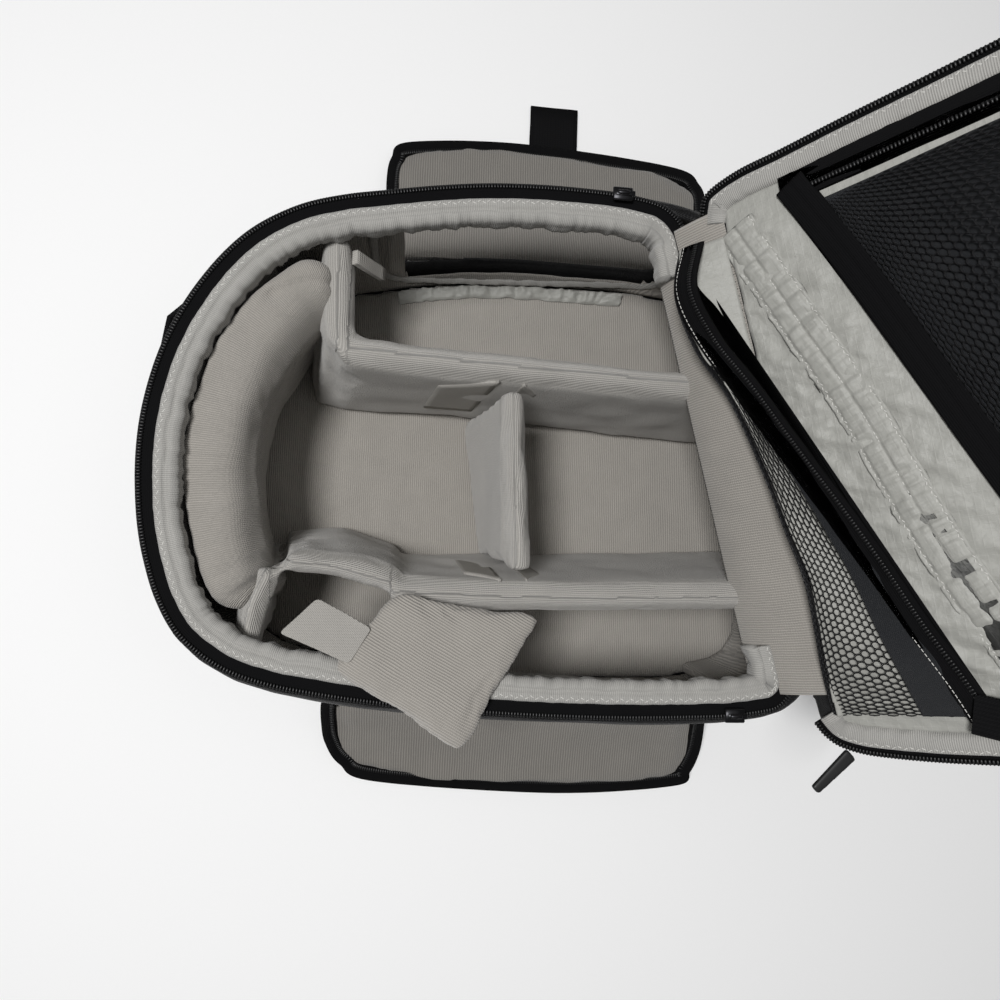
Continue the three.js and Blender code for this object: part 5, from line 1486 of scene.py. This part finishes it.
            bm = swept(line, LID_IN, 200, 32, section, closed=True)
            look = "webbing" if node == "lid_zip_garage" else "tape"
            add_piece(name, bm, LOOKS[look], (node,), "black_webbing")
            if node == "lid_pocket_band":
                stitch = bead(1.9 * MM, 0.4 * MM, 0.35 * MM)
                bm = row_of(stitch, line, LID_IN, 2.7 * MM, -5.2 * MM, 1.3 * MM)
                spread(bm, lambda p: (to_lid(p).x, to_lid(p).y, 0.0))
                add_piece("lid_band_stitches", bm, LOOKS["thread"], (), "black_webbing")
            if node in ("lid_pocket_band", "lid_high_zip"):
                tooth = bead(1.15 * MM, 2.6 * MM, 1.3 * MM)
                bm = row_of(tooth, line, LID_IN, zips.tooth, 3.0 * MM, 1.7 * MM)
                spread(bm, lambda p: (to_lid(p).x, to_lid(p).y, 0.0))
                add_piece(name.replace("tape", "coil"), bm, LOOKS["coil"], (), "black_webbing")

    def low_surface(self, s, t):
        """The low net: s along the pocket, t from its foot up to the zip band."""
        u = on_row(LOW_POCKET, "across", s) * LID_WIDTH - LID_OVERHANG
        band = on_row(LOW_POCKET, "band", s) * LID_LENGTH
        belly = on_row(LOW_POCKET, "belly", s) * LID_LENGTH
        foot = POCKET_FOOT * LID_LENGTH
        band_up = LID_FACE + on_row(LOW_POCKET, "band_up", s) * POCKET_DEPTH
        belly_up = LID_FACE + on_row(LOW_POCKET, "belly_up", s) * POCKET_DEPTH
        knots = [
            (foot, LID_FACE),
            (lerp(belly, foot, 0.45), lerp(LID_FACE, belly_up, 0.45)),
            (belly, belly_up),
            (lerp(belly, band, 0.5), lerp(belly_up, band_up, 0.4)),
            (band, band_up),
        ]
        rows = [{"v": v, "w": w} for v, w in knots]
        v, w = on_row(rows, "v", t), on_row(rows, "w", t)
        w += 1.2 * MM * lump((u, v, 0), 26 * MM, 91.0) * math.sin(math.pi * min(max(t, 0), 1))
        return on_lid(u, v, w + 0.6 * MM)

    def nets(self):
        self.pocket_back()
        self.net("lid_low_net", "lid_pocket_net", self.low_surface, 66, 34, "lid_pocket_band_tape")
        bm = node_copy("lid_high_net")
        points = [to_lid(v.co) for v in bm.verts if len(v.link_edges) < 9]
        bm.free()
        rows = []
        for group in chunks(points, lambda p: p.x, 10):
            rows.append([middle_of(pair) for pair in chunks(group, lambda p: p.y, 2)])

        def high_surface(s, t):
            columns = []
            for k in range(len(rows[0])):
                table = [{"u": r[k].x, "v": r[k].y, "w": r[k].z} for r in rows]
                columns.append({key: on_row(table, key, s) for key in ("u", "v", "w")})
            u, v, w = (on_row(columns, key, t) for key in ("u", "v", "w"))
            rim = math.sin(math.pi * min(max(t, 0), 1)) * math.sin(math.pi * min(max(s, 0), 1))
            w += 2.0 * MM * lump((u, v, 0), 34 * MM, 93.0) * rim + 4.5 * MM * max(rim, 0) ** 0.4
            return on_lid(u, v, w)

        self.dark_pocket(high_surface)
        self.net("lid_high_net_knit", "lid_high_net", high_surface, 58, 60, "lid_high_band_tape")

    def pocket_back(self):
        """Grey nylon inside the low pocket, and the black fold under its zip."""
        for name, look, low, high, lift, cloth in (
            ("lid_low_pocket_cloth", "ripstop", 0.04, 0.8, -3.2, "grey_nylon"),
            ("lid_low_pocket_fold", "dark_cloth", 0.8, 0.99, 0.9, "black_webbing"),
        ):
            bm = bmesh.new()
            bmesh.ops.create_grid(bm, x_segments=150, y_segments=30, size=0.5)
            for vert in bm.verts:
                s, t = lerp(0.01, 0.99, vert.co.x + 0.5), lerp(low, high, vert.co.y + 0.5)
                here = self.low_surface(s, t)
                ahead = self.low_surface(s, t + 0.02) - self.low_surface(s, t - 0.02)
                aside = self.low_surface(s + 0.01, t) - self.low_surface(s - 0.01, t)
                outward = aside.cross(ahead).normalized()
                fold = lump((s * 0.3, t * 0.05, 0), 12 * MM, 97.0)
                vert.co = here + outward * (lift + 0.8 * fold) * MM
            spread(bm, lambda p: (to_lid(p).x, to_lid(p).y, 0.0))
            piece = add_piece(name, bm, LOOKS[look], (), cloth)
            ply = piece.modifiers.new("Ply", "SOLIDIFY")
            ply.thickness = 0.6 * MM
            baked(piece)

    def dark_pocket(self, surface):
        """The black cloth that hangs in folds behind the high net."""
        bm = bmesh.new()
        bmesh.ops.create_grid(bm, x_segments=110, y_segments=110, size=0.5)
        for vert in bm.verts:
            s, t = vert.co.x + 0.5, vert.co.y + 0.5
            u, v, w = to_lid(surface(s, t))
            fold = lump((u * 0.5 + v, v * 0.3 - u, 0), 20 * MM, 95.0)
            fold += 0.5 * lump((u, v, 1), 8 * MM, 96.0)
            room = max(w - LID_FACE - 2.4 * MM, 0)
            vert.co = on_lid(u, v, LID_FACE + 1.4 * MM + room * 0.42 * (1 + min(max(fold, -1), 1)))
        spread(bm, lambda p: (to_lid(p).x, to_lid(p).y, 0.0))
        bmesh.ops.recalc_face_normals(bm, faces=bm.faces[:])
        bmesh.ops.solidify(bm, geom=bm.faces[:], thickness=0.5 * MM)
        spread(bm, lambda p: (to_lid(p).x, to_lid(p).y, 0.0))
        add_piece("lid_high_pocket_cloth", bm, LOOKS["dark_cloth"], (), "black_net")

    def net(self, name, node, surface, columns, rows, held_by):
        """A net of six-sided cells spread over a surface, then given its threads."""
        bm = bmesh.new()
        bmesh.ops.create_circle(bm, cap_ends=True, segments=6, radius=1)
        bmesh.ops.rotate(bm, cent=(0, 0, 0), matrix=Matrix.Rotation(math.pi / 6, 3, "Z"),
                         verts=bm.verts[:])
        step = math.sqrt(3)
        made = 1
        while made < columns:
            shift = Vector((step * made, 0, 0))
            group = bmesh.ops.duplicate(bm, geom=bm.verts[:] + bm.edges[:] + bm.faces[:])["geom"]
            moved = [g for g in group if isinstance(g, bmesh.types.BMVert)]
            bmesh.ops.translate(bm, vec=shift, verts=moved)
            made *= 2
        high = 1
        while high < rows:
            group = bmesh.ops.duplicate(bm, geom=bm.verts[:] + bm.edges[:] + bm.faces[:])["geom"]
            moved = [g for g in group if isinstance(g, bmesh.types.BMVert)]
            slant = step / 2 if high == 1 else 0
            bmesh.ops.translate(bm, vec=(slant, 1.5 * high, 0), verts=moved)
            high *= 2
        bmesh.ops.remove_doubles(bm, verts=bm.verts[:], dist=0.05)
        wide, tall = columns * step, rows * 1.5
        spare = [v for v in bm.verts if not (0 <= v.co.x <= wide and 0 <= v.co.y <= tall)]
        bmesh.ops.delete(bm, geom=spare, context="VERTS")
        for v in bm.verts:
            v.co = surface(v.co.x / wide, v.co.y / tall)
        bmesh.ops.recalc_face_normals(bm, faces=bm.faces[:])
        spread(bm, lambda p: (to_lid(p).x, to_lid(p).y, 0.0))
        piece = add_piece(name, bm, LOOKS["net"], (node,), "black_net")
        threads = piece.modifiers.new("Threads", "WIREFRAME")
        threads.thickness = 0.95 * MM
        threads.use_even_offset = False
        threads.use_replace = True
        baked(piece)
        cloth_sheet(piece)


class BACKPACK_OT_harness(bpy.types.Operator):
    """Pads the back and the shoulder straps and lays the webbing"""

    bl_idname = "backpack.harness"
    bl_label = "Harness"

    def execute(self, context):
        pad("back_pad_mesh", "back_pad", LOOKS["mesh"], "black_nylon", flat_grain(0), voxel=4,
            slim=0.6, cap=1.4, seed=101.0, fine=False)
        for seed, side in enumerate(("far", "near")):
            pad(side + "_strap_pad", side + "_shoulder_strap", LOOKS["nylon"], "black_nylon",
                flat_grain(0), voxel=2.8, slim=0.5, cap=1.0, seed=103.0 + seed,
                fine=False, rounds=3, lumps=0.3)
            thin_copy(side + "_strap_webbing", side + "_shoulder_webbing", LOOKS["webbing"],
                      "black_webbing", flat_grain(0), cuts=10, ripple=0.2)
        thin_copy("side_strap_webbing", "side_strap", LOOKS["webbing"], "black_webbing",
                  lambda p: (p.y + p.z, p.x, 0.0), cuts=8, ripple=0.3, seed=107.0)
        thin_copy("grab_loop_webbing", "grab_loop", LOOKS["webbing"], "black_webbing",
                  lambda p: (p.y, p.z, 0.0), cuts=6, ripple=0.3, seed=109.0)
        for side in ("far", "near"):
            self.slider(side)
        self.pull()
        return {"FINISHED"}

    def slider(self, side):
        """A zip slider: bridge, body and a short pull."""
        low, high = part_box(side + "_slider")
        middle = (low + high) / 2
        size = high - low
        bm = bead(size.x * 0.95, size.y * 0.95, size.z * 0.42, bevel=0.35)
        bmesh.ops.translate(bm, vec=(0, 0, -size.z * 0.25), verts=bm.verts[:])
        parts = [
            ((size.x * 0.55, size.y * 0.28, size.z * 0.3), (0, 0, size.z * 0.28)),
            ((size.x * 0.9, size.y * 0.34, size.z * 0.12), (size.x * 0.1, 0, size.z * 0.08)),
        ]
        for scale, place in parts:
            part = bead(*scale, bevel=0.3)
            bmesh.ops.translate(part, vec=place, verts=part.verts[:])
            mesh = bpy.data.meshes.new("part")
            part.to_mesh(mesh)
            part.free()
            bm.from_mesh(mesh)
            bpy.data.meshes.remove(mesh)
        bmesh.ops.translate(bm, vec=middle, verts=bm.verts[:])
        spread(bm, flat_grain(0))
        add_piece(side + "_zip_slider", bm, LOOKS["metal"], (side + "_slider",), "slider_metal")

    def pull(self):
        bm = remeshed(node_copy("lid_pull"), 0.8 * MM, 3)
        spread(bm, flat_grain(0))
        add_piece("lid_pull_rubber", bm, LOOKS["rubber"], ("lid_pull",), "pull_rubber")


# The photograph's camera: focal length in picture widths, the picture point
# straight below the lens, the height and the roll.
CAMERA_FOCAL = 0.755
CAMERA_NADIR = Vector((-0.09, -0.04))
CAMERA_ROLL = math.radians(2.2)
CAMERA_PLACE = MOUTH_MIDDLE + Vector((-39, -57, 610)) * MM
SENSOR = 36.0


class BACKPACK_OT_studio(bpy.types.Operator):
    """Sets the camera, a pale floor and soft light"""

    bl_idname = "backpack.studio"
    bl_label = "Studio"

    def execute(self, context):
        studio = context.scene.backpack_studio
        self.camera(context)
        self.floor()
        self.lamp("soft_left", studio.lamp, 0.42, Vector((-0.62, -0.05, 1.75)))
        self.lamp("soft_fill", studio.lamp * 0.14, 1.8, Vector((0.5, 0.1, 2.2)))
        world = bpy.data.worlds.new("pale_room")
        context.scene.world = world
        world.use_nodes = True
        sky = world.node_tree.nodes["Background"]
        sky.inputs["Color"].default_value = (1.0, 1.0, 1.0, 1.0)
        sky.inputs["Strength"].default_value = studio.room
        context.scene.view_settings.view_transform = "Standard"
        return {"FINISHED"}

    def camera(self, context):
        lens = bpy.data.cameras.new("photo_camera")
        lens.lens = SENSOR * CAMERA_FOCAL
        lens.sensor_width = SENSOR
        lens.clip_start = 0.01
        lens.dof.use_dof = False
        down = Vector((CAMERA_NADIR.x, CAMERA_NADIR.y, -CAMERA_FOCAL)).normalized()
        tilt = down.rotation_difference(Vector((0, 0, -1)))
        turn = Matrix.Rotation(CAMERA_ROLL, 3, "Z")
        facing = (tilt.to_matrix().transposed() @ turn.transposed()).transposed()
        camera = bpy.data.objects.new("photo_camera", lens)
        camera.matrix_world = Matrix.Translation(CAMERA_PLACE) @ facing.to_4x4()
        context.scene.collection.objects.link(camera)
        context.scene.camera = camera

    def floor(self):
        bm = bmesh.new()
        bmesh.ops.create_grid(bm, x_segments=1, y_segments=1, size=3)
        mesh = bpy.data.meshes.new("pale_floor")
        bm.to_mesh(mesh)
        bm.free()
        ground = bpy.data.objects.new("pale_floor", mesh)
        bpy.context.scene.collection.objects.link(ground)
        look = Look("floor_paper", rough=0.9)
        fine = look.noise(look.place(), 400.0, 2.0)
        look.set("Base Color", look.shade((0.93, 0.93, 0.93), 1 + (fine - 0.5) * 0.01))
        mesh.materials.append(look.material)

    def lamp(self, name, power, size, place):
        data = bpy.data.lights.new(name, "AREA")
        data.energy = power
        data.shape = "DISK"
        data.size = size
        lamp = bpy.data.objects.new(name, data)
        aim = (Vector((0, 0, 0.1)) - place).to_track_quat("-Z", "Y").to_matrix().to_4x4()
        lamp.matrix_world = Matrix.Translation(place) @ aim
        bpy.context.scene.collection.objects.link(lamp)


class BACKPACK_PT_panel(bpy.types.Panel):
    """Lists the backpack's steps and settings"""

    bl_idname = "BACKPACK_PT_panel"
    bl_label = "Camera backpack"
    bl_space_type = "VIEW_3D"
    bl_region_type = "UI"
    bl_category = "Backpack"

    def draw(self, context):
        column = self.layout.column()
        for operator in OPERATORS:
            column.operator(operator.bl_idname)
        for group in (context.scene.backpack_cloth, context.scene.backpack_zips,
                      context.scene.backpack_studio):
            for key in group.__annotations__:
                column.prop(group, key)


OPERATORS = (
    BACKPACK_OT_cloths,
    BACKPACK_OT_studio,
    BACKPACK_OT_inside,
    BACKPACK_OT_dividers,
    BACKPACK_OT_loose_divider,
    BACKPACK_OT_rim,
    BACKPACK_OT_flaps,
    BACKPACK_OT_shell,
    BACKPACK_OT_lid,
    BACKPACK_OT_harness,
)
GROUPS = {
    "backpack_cloth": BackpackCloth,
    "backpack_zips": BackpackZips,
    "backpack_studio": BackpackStudio,
}


def register():
    for group in GROUPS.values():
        bpy.utils.register_class(group)
    for key, group in GROUPS.items():
        setattr(bpy.types.Scene, key, bpy.props.PointerProperty(type=group))
    for operator in OPERATORS:
        bpy.utils.register_class(operator)
    bpy.utils.register_class(BACKPACK_PT_panel)


def unregister():
    bpy.utils.unregister_class(BACKPACK_PT_panel)
    for operator in reversed(OPERATORS):
        bpy.utils.unregister_class(operator)
    for key in GROUPS:
        delattr(bpy.types.Scene, key)
    for group in reversed(GROUPS.values()):
        bpy.utils.unregister_class(group)


def main():
    register()
    for operator in OPERATORS:
        group, name = operator.bl_idname.split(".")
        getattr(getattr(bpy.ops, group), name)()


if __name__ == "__main__":
    main()
